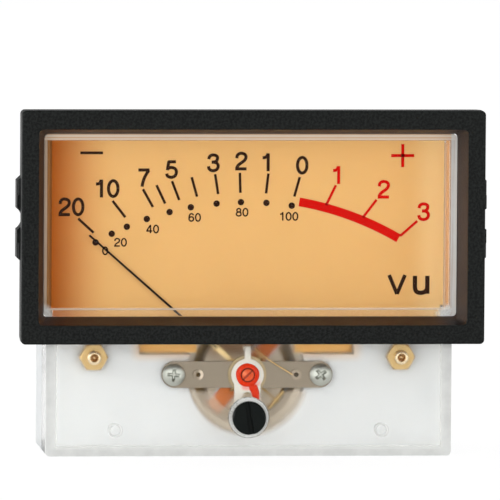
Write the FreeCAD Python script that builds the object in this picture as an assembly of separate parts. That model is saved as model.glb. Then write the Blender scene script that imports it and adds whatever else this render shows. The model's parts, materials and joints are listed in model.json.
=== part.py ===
import FreeCAD, Part
import math
import os

# Analog level meter for a front panel, sizes in millimetres.
# X runs to the right, Z up and Y backwards, away from the person reading the dial.
# Z = 0 is the lower face of the case and X = 0 its middle.  Depths are counted backwards from
# the bezel's front face and become Y by taking off half of the overall depth.

# ---------------------------------------------------------------- bezel
bezel_width = 82.7
bezel_height = 41.6
bezel_depth = 7.5
bezel_bar = 3.05              # width of each side bar on the front face
bezel_rail = 3.35             # height of the upper and the lower bar there
bezel_corner_radius = 0.8
bezel_edge_radius = 0.35      # rounding of the front outer edge
bezel_draft = 0.2             # the outer walls lean in by this much from the lugs' front to the back
bezel_rise = 20.6             # height of the bezel's lower edge
bezel_skin = 1.1              # wall left round the core pockets
pocket_depth = 4.2
pocket_end = 4.0              # solid length at each end of a core pocket
recess_depth = 5.3            # depth of the sloped recess walls

lug_reach = 0.6               # how far a lug stands out from the bezel's front outline
lug_height = 15.7
lug_rise = 42.7               # height of the lug's and notch's centre
lug_setback = 3.3             # lug's front face behind the bezel's front
lug_chamfer = 1.0             # sloped ends of the lug
lug_bevel = 0.42              # bevel along the outer front edge near the lug's ends
lug_bevel_length = 3.6
lug_root = 0.3                # lug's sunk part inside the bezel's wall
notch_radius = 2.25
notch_half_angle = 57.0       # half of the arc that the notch covers, in degrees

# ---------------------------------------------------------------- cover and case
window_width = 73.8
window_height = 32.5
window_setback = 5.8          # window's front face behind the bezel's front
window_gap = 0.15             # between the window block and the bezel
case_width = 72.7
case_corner_radius = 0.7
cover_wall = 1.1
cover_skirt = 9.5             # from the apron's outer face to the cover's rear edge
case_wall = 1.8
rear_case_depth = 13.0
spigot_gap = 0.15             # between the cover's inside and the case's spigot
spigot_wall = 1.0
deck_thickness = 1.5
boss_ring_radius = 3.65       # raised ring round the zero adjuster
boss_ring_height = 0.2
pip_radius = 1.07
pip_spacing = 47.7
pip_rise = 4.6
pip_length = 2.4

# ---------------------------------------------------------------- dial
plate_thickness = 0.8
plate_gap = 0.15              # between the dial plate and the spigot's outline
tab_width = 38.2
tab_bottom = 18.0
tab_cut_width = 17.6
tab_cut_height = 3.6
shelf_top = 22.0              # top of the deck and of the wall below the light box
shelf_thickness = 1.0
tab_gap = 0.2                 # round the plate's tab in the deck

# ---------------------------------------------------------------- movement
pivot_rise = 14.3
bridge_setback = 2.7          # from the apron's inner face to the bridge's front
bridge_length = 30.7
bridge_width = 4.75
bridge_thickness = 0.8
bridge_end_flat = 0.01        # keeps the strap's two end rounds apart
bridge_screw_inset = 2.15     # from the strap's end to its screw
stake_inset = 4.4             # from a screw to the drilled pin staked into the bridge beside it
stake_radius = 0.95
stake_height = 0.3
stake_drill_radius = 0.4
boss_radius = 2.3
boss_proud = 0.5              # boss tops in front of the deck
boss_length = 11.9
insert_radius = 1.45
insert_overhang = 1.0         # brass insert behind the boss's end
screw_radius = 0.8
screw_head_radius = 2.0
screw_head_height = 0.9
screw_length = 8.0
cross_width = 0.5
cross_length = 2.1
cross_depth = 0.5

jewel_screw_radius = 1.07
jewel_screw_slot = 0.35
jewel_slot_tilt = -45.0
jewel_bore_radius = 0.30
jewel_bore_depth = 0.7
jewel_screw_front_proud = 1.4   # front screw's slotted end in front of the bridge
jewel_screw_back_proud = 0.15
pivot_tip_radius = 0.24
pivot_shaft_radius = 0.35
pivot_bush_radius = 0.9
pivot_bush_length = 0.5
collet_radius = 0.7
collet_length = 0.35
collet_overhang = 0.05        # collet in front of its hairspring
tip_entry = 0.5               # length of pivot tip inside the jewel
tip_shoulder = 0.4            # from the bridge's back to the pivot's shoulder

pointer_length = 37.6
pointer_rest_angle = -48.7
pointer_root = 7.0            # radius where the needle starts on its socket
pointer_root_width = 0.42
pointer_tip_width = 0.36
pointer_thickness = 0.15
pointer_setback = 1.45        # from the bridge's back to the needle's front
plate_setback = 0.7           # from the needle's back to the dial plate
socket_length = 8.2
socket_width = 0.9
socket_thickness = 0.2
hub_radius = 1.3
hub_front = 0.35              # hub in front of the needle
hub_back = 0.4                # hub behind the needle
arm_radius = 0.2
tail_length = 8.0
side_arm_length = 4.2
weight_radius = 0.6
weight_length = 1.2
tail_weight_radius = 0.4      # of the wire laid across the tail
tail_weight_length = 4.2
weight_inset = 0.4            # from the arm's end to its weight

coil_setback = 0.6            # from the dial plate's back to the winding's front
core_length = 6.4
air_gap = 0.4                 # between the core and the former
former_thickness = 0.2
former_width = 3.4
winding_thickness = 0.8
winding_width = 2.8
winding_corner_radius = 0.5
coil_to_yoke = 0.6            # between the winding's sides and the yoke
yoke_wall = 1.2
yoke_to_insert = 1.15         # between the yoke and the boss inserts
yoke_length = 8.4
yoke_setback = 0.4            # yoke's front behind the winding's front
well_gap = 0.05
well_wall = 1.35
lead_slot_width = 3.0         # way out of the well for the right lead
lead_slot_reach = 1.35        # slot's end outside the well's wall
ledge_width = 0.8             # ledge behind the yoke
ledge_length = 1.4

rear_plate_gap = 1.45         # between the rear plate and the well's wall
rear_plate_thickness = 0.8
rear_pad_radius = 1.6
rear_pad_length = 0.8
rear_screw_inset = 1.7        # from the rear plate's edge to its screws
rear_screw_head_radius = 1.8
rear_screw_head_height = 1.0
core_post_radius = 0.9
core_post_gap = 0.2           # between the rear hairspring and the core's posts
jewel_rear_clearance = 0.1    # between the rear jewel screw and the case

spring_turns = 4
spring_outer_radius = 4.1
spring_gap = 0.06             # between the collet and the spring's inner turn
spring_ribbon = 0.12
spring_width = 0.2
spring_setback = 0.55         # from the bridge's back to the spring
rear_spring_setback = 0.7     # from the rear spring to the rear plate
spring_post_width = 0.9

# ---------------------------------------------------------------- zero adjuster
washer_radius = 3.45
washer_thickness = 0.25
collar_radius = 1.5
lever_gap = 0.05              # running gap of the lever on its washer and collar
lever_thickness = 0.58
lever_ring_radius = 2.9
fork_width = 4.7
fork_slot = 1.94
fork_slot_reach = 4.05        # from the pivot to the slot's round end's centre
fork_below_screw = 0.9        # fork's end below the zero screw's axis
lever_tab_width = 1.06
lever_tab_reach = 5.1
lever_leg = 0.8               # height of the leg that goes back to the hairspring
lever_leg_clearance = 0.4     # between the leg's end and the needle
lacquer_radius = 2.13
lacquer_thickness = 0.36
lacquer_roundness = 0.6       # share of its thickness that the rim is rounded by

zero_rise = 6.9
zero_head_radius = 2.97
zero_head_height = 1.3
zero_head_gap = 0.1           # between the head and the boss ring
zero_head_chamfer = 0.2
zero_shank_radius = 1.55
zero_bore_gap = 0.05
zero_slot_width = 0.9
zero_slot_depth = 0.7
zero_slot_tilt = -9.0
zero_flange_radius = 1.95
zero_flange_length = 0.55
eccentric_offset = 1.0
eccentric_radius = 0.82
eccentric_past_lever = 0.2

# ---------------------------------------------------------------- terminals and backlight
stud_spacing = 55.1
stud_rise = 17.45
stud_radius = 1.25
stud_drill_radius = 0.62
stud_drill_depth = 1.2
stud_front_proud = 1.4        # stud in front of its front nut
stud_tail = 2.8               # free thread behind the last nut
stud_hole_gap = 0.05
stud_chamfer = 0.25
nut_across_flats = 4.5
nut_thickness = 2.0
nut_chamfer = 0.3
rear_washer_radius = 2.9
rear_washer_thickness = 0.3
tag_radius = 2.5
tag_thickness = 0.4
tag_tail_width = 1.9
tag_tail_length = 7.5
tag_eye_radius = 0.55
lead_radius = 0.35
lead_sag = 1.3                # how far the leads dip between the studs and the movement
lead_first_run = 4.5          # along X from a lead's tag to its first bend
lead_last_run = 1.6           # along X from the left lead's last bend to its insert
bend_share = 0.45             # share of the shorter run that a bend takes
pigtail_radius = 0.14
pigtail_bend = 3.9            # X of the pigtail's bend
pigtail_bend_rise = 0.2       # bend above the strap's upper edge
pigtail_end = 1.3             # X of the pigtail's end beside the lever's leg
pigtail_end_gap = 0.2         # end in front of the hairspring

lamp_drop = 10.65             # from the window's top to the lamps
lamp_spacing = 30.0
lamp_radius = 1.7
lamp_length = 4.8
lamp_cap_radius = 1.95
lamp_cap_length = 2.0
lamp_board_width = 42.0
lamp_board_height = 5.2
lamp_board_thickness = 1.0
lamp_pin_spacing = 8.0
lamp_pin_radius = 0.5
lamp_pin_neck = 0.3           # radius of the pin inside the board and the wall
lamp_pin_length = 7.0
lamp_pin_proud = 0.4          # pin end in front of the board

# ---------------------------------------------------------------- places that follow
bezel_centre = bezel_rise + bezel_height / 2
window_bottom = bezel_centre - window_height / 2
window_top = bezel_centre + window_height / 2
apron_front = bezel_depth
apron_back = apron_front + cover_wall
cover_back = apron_front + cover_skirt
case_back = cover_back + rear_case_depth
wall_front = case_back - case_wall

lamp_rise = window_top - lamp_drop
bridge_screw_spacing = bridge_length - 2 * bridge_screw_inset
stake_spacing = bridge_screw_spacing - 2 * stake_inset

yoke_radius = bridge_screw_spacing / 2 - insert_radius - yoke_to_insert
winding_half = yoke_radius - yoke_wall - coil_to_yoke
former_half = winding_half - winding_thickness
core_radius = former_half - former_thickness - air_gap
core_post_offset = spring_outer_radius + core_post_radius + core_post_gap
well_radius = yoke_radius + well_gap
rear_plate_radius = well_radius - rear_plate_gap
rear_screw_spacing = 2 * (rear_plate_radius - rear_screw_inset)

bridge_front = apron_back + bridge_setback
bridge_back = bridge_front + bridge_thickness
deck_front = bridge_back + boss_proud
deck_back = deck_front + deck_thickness
boss_back = bridge_back + boss_length
insert_back = boss_back + insert_overhang
needle_front = bridge_back + pointer_setback
needle_back = needle_front + pointer_thickness
plate_front = needle_back + plate_setback
plate_back = plate_front + plate_thickness

winding_front = plate_back + coil_setback
former_front = winding_front + winding_thickness
core_front = former_front + former_thickness + air_gap
core_back = core_front + core_length
former_back = core_back + air_gap + former_thickness
winding_back = former_back + winding_thickness
yoke_front = winding_front + yoke_setback
yoke_back = yoke_front + yoke_length

rear_plate_back = wall_front - rear_pad_length
rear_plate_front = rear_plate_back - rear_plate_thickness
rear_spring_front = rear_plate_front - rear_spring_setback

washer_front = bridge_front - washer_thickness
lever_back = washer_front - lever_gap
lever_front = lever_back - lever_thickness
collar_front = lever_front - lever_gap
spring_front = bridge_back + spring_setback

zero_head_back = apron_front - boss_ring_height - zero_head_gap
zero_head_front = zero_head_back - zero_head_height
zero_flange_front = apron_back + zero_bore_gap
zero_flange_back = zero_flange_front + zero_flange_length

front_nut_front = deck_front - nut_thickness
stud_front = front_nut_front - stud_front_proud
inner_nut_back = case_back + rear_washer_thickness + nut_thickness
outer_nut_front = inner_nut_back + tag_thickness
outer_nut_back = outer_nut_front + nut_thickness
stud_back = outer_nut_back + stud_tail

overall_depth = stud_back
middle_depth = overall_depth / 2

front_opening_width = bezel_width - 2 * bezel_bar
front_opening_height = bezel_height - 2 * bezel_rail
back_opening_width = window_width + 2 * window_gap
back_opening_height = window_height + 2 * window_gap
window_floor = window_bottom + cover_wall         # inside of the window block, above its lower wall
window_half = window_width / 2 - cover_wall       # inside of the window block
case_half = case_width / 2 - cover_wall           # inside of the lower cover
spigot_half_top = window_half - spigot_gap
spigot_half_low = case_half - spigot_gap
spigot_top = window_top - cover_wall - spigot_gap
spigot_bottom = cover_wall + spigot_gap


tiny = 1e-3                                       # for telling edges apart


def point(x, depth, z):
    return FreeCAD.Vector(x, depth - middle_depth, z)


def block(x0, x1, depth0, depth1, z0, z1):
    return Part.makeBox(x1 - x0, depth1 - depth0, z1 - z0, point(x0, depth0, z0))


def disc(x, z, radius, depth0, depth1):
    """Cylinder along the depth."""
    return Part.makeCylinder(radius, depth1 - depth0, point(x, depth0, z), FreeCAD.Vector(0, 1, 0))


def ring(x, z, outer, inner, depth0, depth1):
    return disc(x, z, outer, depth0, depth1).cut(disc(x, z, inner, depth0, depth1))


def rounded_outline(width, height, radius, z_centre, depth):
    """Closed wire of a rectangle with round corners, standing across the depth."""
    half_w = width / 2 - radius
    half_h = height / 2 - radius
    diagonal = radius / math.sqrt(2)
    edges = []
    corners = ((half_w, half_h, 0), (-half_w, half_h, 90), (-half_w, -half_h, 180), (half_w, -half_h, 270))
    for index, (cx, cz, start) in enumerate(corners):
        first = (cx + radius * math.cos(math.radians(start)), cz + radius * math.sin(math.radians(start)))
        sign_x = math.cos(math.radians(start + 45)) * math.sqrt(2)
        sign_z = math.sin(math.radians(start + 45)) * math.sqrt(2)
        middle = (cx + diagonal * sign_x, cz + diagonal * sign_z)
        last = (cx + radius * math.cos(math.radians(start + 90)), cz + radius * math.sin(math.radians(start + 90)))
        arc = Part.Arc(
            point(first[0], depth, z_centre + first[1]),
            point(middle[0], depth, z_centre + middle[1]),
            point(last[0], depth, z_centre + last[1]),
        )
        edges.append(arc.toShape())
        ncx, ncz, nstart = corners[(index + 1) % 4]
        following = (
            ncx + radius * math.cos(math.radians(nstart)),
            ncz + radius * math.sin(math.radians(nstart)),
        )
        line = Part.LineSegment(
            point(last[0], depth, z_centre + last[1]),
            point(following[0], depth, z_centre + following[1]),
        )
        edges.append(line.toShape())
    return Part.Wire(edges)


def slab(width, z0, z1, radius, depth0, depth1):
    """Plate with round corners, centred on X = 0, between two depths."""
    outline = rounded_outline(width, z1 - z0, radius, (z0 + z1) / 2, depth0)
    return Part.Face(outline).extrude(FreeCAD.Vector(0, depth1 - depth0, 0))


def tapered(width0, height0, radius0, depth0, width1, height1, radius1, depth1, z_centre):
    """Straight taper from one rounded rectangle to another."""
    first = rounded_outline(width0, height0, radius0, z_centre, depth0)
    second = rounded_outline(width1, height1, radius1, z_centre, depth1)
    return Part.makeLoft([first, second], True, True)


def prism(points_xz, depth0, depth1):
    """Flat outline given as X and Z pairs, thickened along the depth."""
    corners = [point(x, depth0, z) for x, z in points_xz]
    face = Part.Face(Part.makePolygon(corners + [corners[0]]))
    return face.extrude(FreeCAD.Vector(0, depth1 - depth0, 0))


def hexagon(x, z, depth0, depth1):
    """Hexagonal nut blank with a corner to each side and both faces chamfered."""
    corner = nut_across_flats / math.sqrt(3)
    outline = []
    for turn in range(6):
        angle = math.radians(60 * turn)
        outline.append((x + corner * math.cos(angle), z + corner * math.sin(angle)))
    turned = disc(x, z, corner, depth0, depth1)
    rims = [e for e in turned.Edges if len(e.Vertexes) == 1]
    turned = turned.makeChamfer(nut_chamfer, rims)
    return prism(outline, depth0, depth1).common(turned)


def turned_about_pivot(shape, degrees):
    """Turn about the movement's axis, clockwise for the reader when positive."""
    result = shape.copy()
    result.rotate(point(0, 0, pivot_rise), FreeCAD.Vector(0, 1, 0), degrees)
    return result


def mirrored_pair(make, offset):
    """The same solid at +offset and -offset, as one group."""
    return Part.makeCompound([make(-offset), make(offset)])


def lead(points, radius):
    """Round lead along straight runs joined by tangent arcs."""
    edges = []
    start = points[0]
    for before, corner, after in zip(points, points[1:], points[2:]):
        into = corner - before
        out = after - corner
        turn = into.getAngle(out)
        shorter = min(into.Length, out.Length)
        arc_radius = bend_share * shorter / math.tan(turn / 2)
        setback = arc_radius * math.tan(turn / 2)
        into.normalize()
        out.normalize()
        enter = corner - into * setback
        leave = corner + out * setback
        inward = out - into
        inward.normalize()
        middle = corner + inward * (arc_radius / math.cos(turn / 2) - arc_radius)
        edges.append(Part.LineSegment(start, enter).toShape())
        edges.append(Part.Arc(enter, middle, leave).toShape())
        start = leave
    edges.append(Part.LineSegment(start, points[-1]).toShape())
    path = Part.Wire(edges)
    direction = points[1] - points[0]
    profile = Part.Wire(Part.makeCircle(radius, points[0], direction))
    return path.makePipeShell([profile], True, False)


# ---------------------------------------------------------------- housing
def make_lug(side):
    """Side lug with sloped ends, two bevelled stretches and a round notch at mid height."""
    inside = bezel_width / 2 - bezel_draft - lug_root
    outside = bezel_width / 2 + lug_reach
    half = lug_height / 2
    outline = [
        (side * inside, lug_rise - half),
        (side * outside, lug_rise - half + lug_chamfer),
        (side * outside, lug_rise + half - lug_chamfer),
        (side * inside, lug_rise + half),
    ]
    lug = prism(outline, lug_setback, bezel_depth)
    for low in (lug_rise - half, lug_rise + half - lug_bevel_length):
        corner = point(side * outside, lug_setback, low)
        across = point(side * (outside - lug_bevel), lug_setback, low)
        back = point(side * outside, lug_setback + lug_bevel, low)
        wedge = Part.Face(Part.makePolygon([corner, across, back, corner]))
        lug = lug.cut(wedge.extrude(FreeCAD.Vector(0, 0, lug_bevel_length)))
    return lug


def make_notch(side):
    centre = bezel_width / 2 + lug_reach + notch_radius * math.cos(math.radians(notch_half_angle))
    return disc(side * centre, lug_rise, notch_radius, lug_setback, bezel_depth)


def make_pocket(side):
    """Core pocket in the back of a side bar."""
    inner = back_opening_width / 2 + bezel_skin
    outer = bezel_width / 2 - bezel_draft - bezel_skin
    low = bezel_rise + pocket_end
    high = bezel_rise + bezel_height - pocket_end
    x0 = min(side * inner, side * outer)
    x1 = max(side * inner, side * outer)
    return block(x0, x1, bezel_depth - pocket_depth, bezel_depth, low, high)


def make_bezel_frame():
    back_width = bezel_width - 2 * bezel_draft
    back_height = bezel_height - 2 * bezel_draft
    straight = slab(bezel_width, bezel_rise, bezel_rise + bezel_height, bezel_corner_radius, 0, lug_setback)
    front_edges = [e for e in straight.Edges if abs(e.BoundBox.YMax + middle_depth) < tiny]
    straight = straight.makeFillet(bezel_edge_radius, front_edges)
    leaning = tapered(
        bezel_width, bezel_height, bezel_corner_radius, lug_setback,
        back_width, back_height, bezel_corner_radius, bezel_depth, bezel_centre,
    )
    outer = straight.fuse([leaning, make_lug(1), make_lug(-1)])
    recess = tapered(
        front_opening_width, front_opening_height, bezel_corner_radius, 0,
        back_opening_width, back_opening_height, bezel_corner_radius, recess_depth, bezel_centre,
    )
    low = bezel_centre - back_opening_height / 2
    high = bezel_centre + back_opening_height / 2
    through = slab(back_opening_width, low, high, bezel_corner_radius, recess_depth, bezel_depth)
    cuts = [recess, through, make_notch(1), make_notch(-1), make_pocket(1), make_pocket(-1)]
    return outer.cut(cuts)


def make_front_cover():
    window = slab(window_width, window_bottom, window_top, case_corner_radius, window_setback, cover_back)
    apron = slab(case_width, 0, window_top, case_corner_radius, apron_front, cover_back)
    boss = disc(0, zero_rise, boss_ring_radius, apron_front - boss_ring_height, apron_back)
    outer = window.fuse([apron, boss])
    pane_back = window_setback + cover_wall
    upper = block(-window_half, window_half, pane_back, cover_back, window_floor, window_top - cover_wall)
    lower = block(-case_half, case_half, apron_back, cover_back, cover_wall, window_floor)
    shank_bore = disc(
        0, zero_rise, zero_shank_radius + zero_bore_gap, apron_front - boss_ring_height, apron_back,
    )
    cover = outer.cut([upper, lower, shank_bore])
    pips = [disc(side * pip_spacing / 2, pip_rise, pip_radius, apron_back, apron_back + pip_length)
            for side in (-1, 1)]
    return cover.fuse(pips).removeSplitter()


def make_case_walls():
    """Rear box with the spigot that fits inside the cover."""
    wide = slab(window_width, window_bottom, window_top, case_corner_radius, cover_back, case_back)
    full = slab(case_width, 0, window_top, case_corner_radius, cover_back, case_back)
    step = window_floor + spigot_gap
    upper_spigot = block(-spigot_half_top, spigot_half_top, plate_back, cover_back, step, spigot_top)
    lower_spigot = block(-spigot_half_low, spigot_half_low, deck_front, cover_back, spigot_bottom, shelf_top)
    neck = block(-spigot_half_low, spigot_half_low, plate_back, cover_back, shelf_top, step)
    return wide.fuse([full, upper_spigot, lower_spigot, neck])


def make_rear_case():
    walls = make_case_walls()
    inside_half = spigot_half_low - spigot_wall
    inside_top = spigot_top - spigot_wall
    inside_low = spigot_bottom + spigot_wall
    light_box = block(-inside_half, inside_half, plate_back, wall_front, shelf_top, inside_top)
    lower_room = block(-inside_half, inside_half, deck_back, wall_front, inside_low, shelf_top - shelf_thickness)
    shell = walls.cut([light_box, lower_room])
    well = disc(0, pivot_rise, well_radius + well_wall, plate_back, wall_front)
    collar = disc(0, pivot_rise, well_radius + well_wall, deck_front, plate_back)
    collar = collar.common(block(-case_half, case_half, deck_front, plate_back, 0, shelf_top))
    bosses = [disc(side * bridge_screw_spacing / 2, pivot_rise, boss_radius, bridge_back, boss_back)
              for side in (-1, 1)]
    shell = shell.fuse([well, collar] + bosses)
    well_room = disc(0, pivot_rise, well_radius, deck_front, yoke_back)
    ledge_radius = well_radius - ledge_width
    behind_yoke = disc(0, pivot_rise, ledge_radius, yoke_back, wall_front)
    behind_ledge = disc(0, pivot_rise, well_radius, yoke_back + ledge_length, wall_front)
    tab_room = block(
        -tab_width / 2 - tab_gap, tab_width / 2 + tab_gap, deck_front, plate_back,
        tab_bottom - tab_gap, shelf_top,
    )
    shell = shell.cut([well_room, behind_yoke, behind_ledge, tab_room])
    pads = [disc(side * rear_screw_spacing / 2, pivot_rise, rear_pad_radius, rear_plate_back, wall_front)
            for side in (-1, 1)]
    shell = shell.fuse(pads)
    holes = []
    for side in (-1, 1):
        x = side * bridge_screw_spacing / 2
        holes.append(disc(x, pivot_rise, insert_radius, bridge_back, insert_back))
        holes.append(disc(side * rear_screw_spacing / 2, pivot_rise, screw_radius, rear_plate_back, case_back))
        holes.append(disc(side * stud_spacing / 2, stud_rise, stud_radius + stud_hole_gap, deck_front, case_back))
        holes.append(disc(side * lamp_pin_spacing / 2, lamp_rise, lamp_pin_neck, wall_front, case_back))
    lead_slot = block(
        rear_plate_radius, well_radius + well_wall + lead_slot_reach, yoke_back + ledge_length, wall_front,
        pivot_rise - lead_slot_width / 2, pivot_rise + lead_slot_width / 2,
    )
    return shell.cut(holes + [lead_slot]).removeSplitter()


def make_scale_plate():
    half = spigot_half_top - plate_gap
    step = window_floor + spigot_gap + plate_gap
    body = block(-half, half, plate_front, plate_back, step, spigot_top - plate_gap)
    lower_half = spigot_half_low - plate_gap
    neck = block(-lower_half, lower_half, plate_front, plate_back, shelf_top + plate_gap, step)
    tab = block(-tab_width / 2, tab_width / 2, plate_front, plate_back, tab_bottom, step)
    cut = block(
        -tab_cut_width / 2, tab_cut_width / 2, plate_front, plate_back,
        tab_bottom, tab_bottom + tab_cut_height,
    )
    return body.fuse([neck, tab]).cut(cut).removeSplitter()


# ---------------------------------------------------------------- fixed parts of the movement
def make_front_bridge():
    strap = slab(
        bridge_length, pivot_rise - bridge_width / 2, pivot_rise + bridge_width / 2,
        bridge_width / 2 - bridge_end_flat, bridge_front, bridge_back,
    )
    stakes = [disc(side * stake_spacing / 2, pivot_rise, stake_radius, bridge_front - stake_height, bridge_back)
              for side in (-1, 1)]
    holes = [disc(side * bridge_screw_spacing / 2, pivot_rise, screw_radius, bridge_front, bridge_back)
             for side in (-1, 1)]
    holes.append(disc(0, pivot_rise, jewel_screw_radius, bridge_front, bridge_back))
    drills = [disc(side * stake_spacing / 2, pivot_rise, stake_drill_radius, bridge_front - stake_height, bridge_back)
              for side in (-1, 1)]
    return strap.fuse(stakes).cut(holes + drills)


def make_bridge_screw(x):
    """Pan-head screw with a cross recess."""
    head_front = bridge_front - screw_head_height
    rise = screw_head_height
    ball_radius = (screw_head_radius ** 2 + rise ** 2) / (2 * rise)
    ball = Part.makeSphere(ball_radius, point(x, head_front + ball_radius, pivot_rise))
    head = disc(x, pivot_rise, screw_head_radius, head_front, bridge_front).common(ball)
    shank = disc(x, pivot_rise, screw_radius, bridge_front, bridge_front + screw_length)
    long_half = cross_length / 2
    short_half = cross_width / 2
    recess_back = head_front + cross_depth
    flat_bar = block(
        x - long_half, x + long_half, head_front, recess_back, pivot_rise - short_half, pivot_rise + short_half,
    )
    tall_bar = block(
        x - short_half, x + short_half, head_front, recess_back, pivot_rise - long_half, pivot_rise + long_half,
    )
    return head.fuse(shank).cut([flat_bar, tall_bar])


def make_boss_insert(x):
    return ring(x, pivot_rise, insert_radius, screw_radius, bridge_back, insert_back)


def make_jewel_screw(slot_end, jewel_end):
    """Slotted bearing screw; its jewel faces the movement."""
    body = disc(0, pivot_rise, jewel_screw_radius, min(slot_end, jewel_end), max(slot_end, jewel_end))
    inward = 1 if jewel_end > slot_end else -1
    slot_bottom = slot_end + inward * jewel_screw_slot
    slot = block(
        -jewel_screw_radius, jewel_screw_radius, min(slot_end, slot_bottom), max(slot_end, slot_bottom),
        pivot_rise - jewel_screw_slot / 2, pivot_rise + jewel_screw_slot / 2,
    )
    bore_bottom = jewel_end - inward * jewel_bore_depth
    bore = disc(0, pivot_rise, jewel_bore_radius, min(bore_bottom, jewel_end), max(bore_bottom, jewel_end))
    return body.cut([slot, bore])


def make_front_jewel_screw():
    screw = make_jewel_screw(bridge_front - jewel_screw_front_proud, bridge_back + jewel_screw_back_proud)
    return turned_about_pivot(screw, jewel_slot_tilt)


def make_rear_jewel_screw():
    return make_jewel_screw(wall_front - jewel_rear_clearance, rear_plate_front - jewel_screw_back_proud)


def make_rear_plate():
    plate = disc(0, pivot_rise, rear_plate_radius, rear_plate_front, rear_plate_back)
    post_inner = spring_outer_radius + spring_ribbon
    post = block(
        post_inner, post_inner + spring_post_width, rear_spring_front, rear_plate_front,
        pivot_rise - spring_post_width / 2, pivot_rise + spring_post_width / 2,
    )
    holes = [disc(side * rear_screw_spacing / 2, pivot_rise, screw_radius, rear_plate_front, rear_plate_back)
             for side in (-1, 1)]
    holes.append(disc(0, pivot_rise, jewel_screw_radius, rear_plate_front, rear_plate_back))
    return plate.fuse(post).cut(holes)


def make_rear_plate_screw(x):
    head = disc(x, pivot_rise, rear_screw_head_radius, case_back, case_back + rear_screw_head_height)
    shank = disc(x, pivot_rise, screw_radius, rear_plate_front, case_back)
    slot_front = case_back + rear_screw_head_height - cross_depth
    slot = block(
        x - rear_screw_head_radius, x + rear_screw_head_radius, slot_front, case_back + rear_screw_head_height,
        pivot_rise - cross_width / 2, pivot_rise + cross_width / 2,
    )
    return head.fuse(shank).cut(slot)


def make_core_magnet():
    return disc(0, pivot_rise, core_radius, core_front, core_back)


def make_core_post(offset):
    return disc(0, pivot_rise + offset, core_post_radius, core_back, rear_plate_front)


def make_yoke_ring():
    return ring(0, pivot_rise, yoke_radius, yoke_radius - yoke_wall, yoke_front, yoke_back)


def make_hairspring(depth0, outward_angle):
    """Flat spiral of half circles, from the collet out to its post."""
    inner = collet_radius + spring_gap
    half_turns = 2 * spring_turns
    growth = (spring_outer_radius - inner) / half_turns
    left = []
    right = []
    centre = 0.0
    radius = inner + spring_ribbon / 2
    side = 1
    for index in range(half_turns):
        for rim, collection in ((-spring_ribbon / 2, left), (spring_ribbon / 2, right)):
            r = radius + rim
            first = point(centre + side * r, depth0, pivot_rise)
            middle = point(centre, depth0, pivot_rise + side * r)
            last = point(centre - side * r, depth0, pivot_rise)
            collection.append(Part.Arc(first, middle, last).toShape())
        centre += side * growth
        radius += growth
        side = -side
    start_cap = Part.LineSegment(left[0].firstVertex().Point, right[0].firstVertex().Point).toShape()
    end_cap = Part.LineSegment(left[-1].lastVertex().Point, right[-1].lastVertex().Point).toShape()
    outline = Part.Wire(Part.__sortEdges__(left + [end_cap] + right + [start_cap]))
    spiral = Part.Face(outline).extrude(FreeCAD.Vector(0, spring_width, 0))
    return turned_about_pivot(spiral, outward_angle)


# ---------------------------------------------------------------- moving coil
def at_rest(shape):
    return turned_about_pivot(shape, pointer_rest_angle)


def make_pointer():
    low = pivot_rise + pointer_root
    high = pivot_rise + pointer_length
    outline = [
        (-pointer_root_width / 2, low),
        (pointer_root_width / 2, low),
        (pointer_tip_width / 2, high),
        (-pointer_tip_width / 2, high),
    ]
    return at_rest(prism(outline, needle_front, needle_back))


def make_pointer_socket():
    strip = block(
        -socket_width / 2, socket_width / 2, needle_back, needle_back + socket_thickness,
        pivot_rise, pivot_rise + socket_length,
    )
    strip = strip.cut(disc(0, pivot_rise, hub_radius, needle_back, needle_back + socket_thickness))
    return at_rest(strip)


def balance_arm_set():
    """Direction from the needle in degrees and arm length."""
    return ((180, tail_length), (90, side_arm_length), (-90, side_arm_length))


def radial_rod(radius, start, end, angle):
    middle = (needle_front + needle_back) / 2
    rod = Part.makeCylinder(radius, end - start, point(0, middle, pivot_rise + start), FreeCAD.Vector(0, 0, 1))
    return turned_about_pivot(rod, angle)


def make_balance_arms():
    hub = disc(0, pivot_rise, hub_radius, needle_front - hub_front, needle_back + hub_back)
    arms = [radial_rod(arm_radius, 0, length, angle) for angle, length in balance_arm_set()]
    body = hub.fuse(arms)
    bore = disc(0, pivot_rise, pivot_shaft_radius, needle_front - hub_front, needle_back + hub_back)
    return at_rest(body.cut(bore))


def make_tail_weight():
    """Stout wire across the tail, drilled for it."""
    across = pivot_rise + tail_length - weight_inset - tail_weight_radius
    start = point(-tail_weight_length / 2, (needle_front + needle_back) / 2, across)
    wire = Part.makeCylinder(tail_weight_radius, tail_weight_length, start, FreeCAD.Vector(1, 0, 0))
    return turned_about_pivot(wire, 180).cut(radial_rod(arm_radius, 0, tail_length, 180))


def make_side_weight(angle):
    """Sleeve near the end of a side arm."""
    end = side_arm_length - weight_inset
    sleeve = radial_rod(weight_radius, end - weight_length, end, angle)
    return sleeve.cut(radial_rod(arm_radius, 0, side_arm_length, angle))


def make_balance_weights():
    weights = [make_tail_weight(), make_side_weight(90), make_side_weight(-90)]
    return at_rest(Part.makeCompound(weights))


def coil_loop(half_width, depth0, depth1, leg_width, thickness, corner):
    """Rectangular loop round the core, seen from above as a frame."""
    low = pivot_rise - leg_width / 2
    high = pivot_rise + leg_width / 2
    outer = block(-half_width, half_width, depth0, depth1, low, high)
    if corner > 0:
        edges = [e for e in outer.Edges if abs(e.BoundBox.ZLength - leg_width) < tiny]
        outer = outer.makeFillet(corner, edges)
    inner = block(-half_width + thickness, half_width - thickness, depth0 + thickness, depth1 - thickness, low, high)
    return at_rest(outer.cut(inner))


def make_coil_former():
    return coil_loop(former_half, former_front, former_back, former_width, former_thickness, 0)


def make_coil_winding():
    return coil_loop(
        winding_half, winding_front, winding_back, winding_width, winding_thickness, winding_corner_radius,
    )


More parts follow.
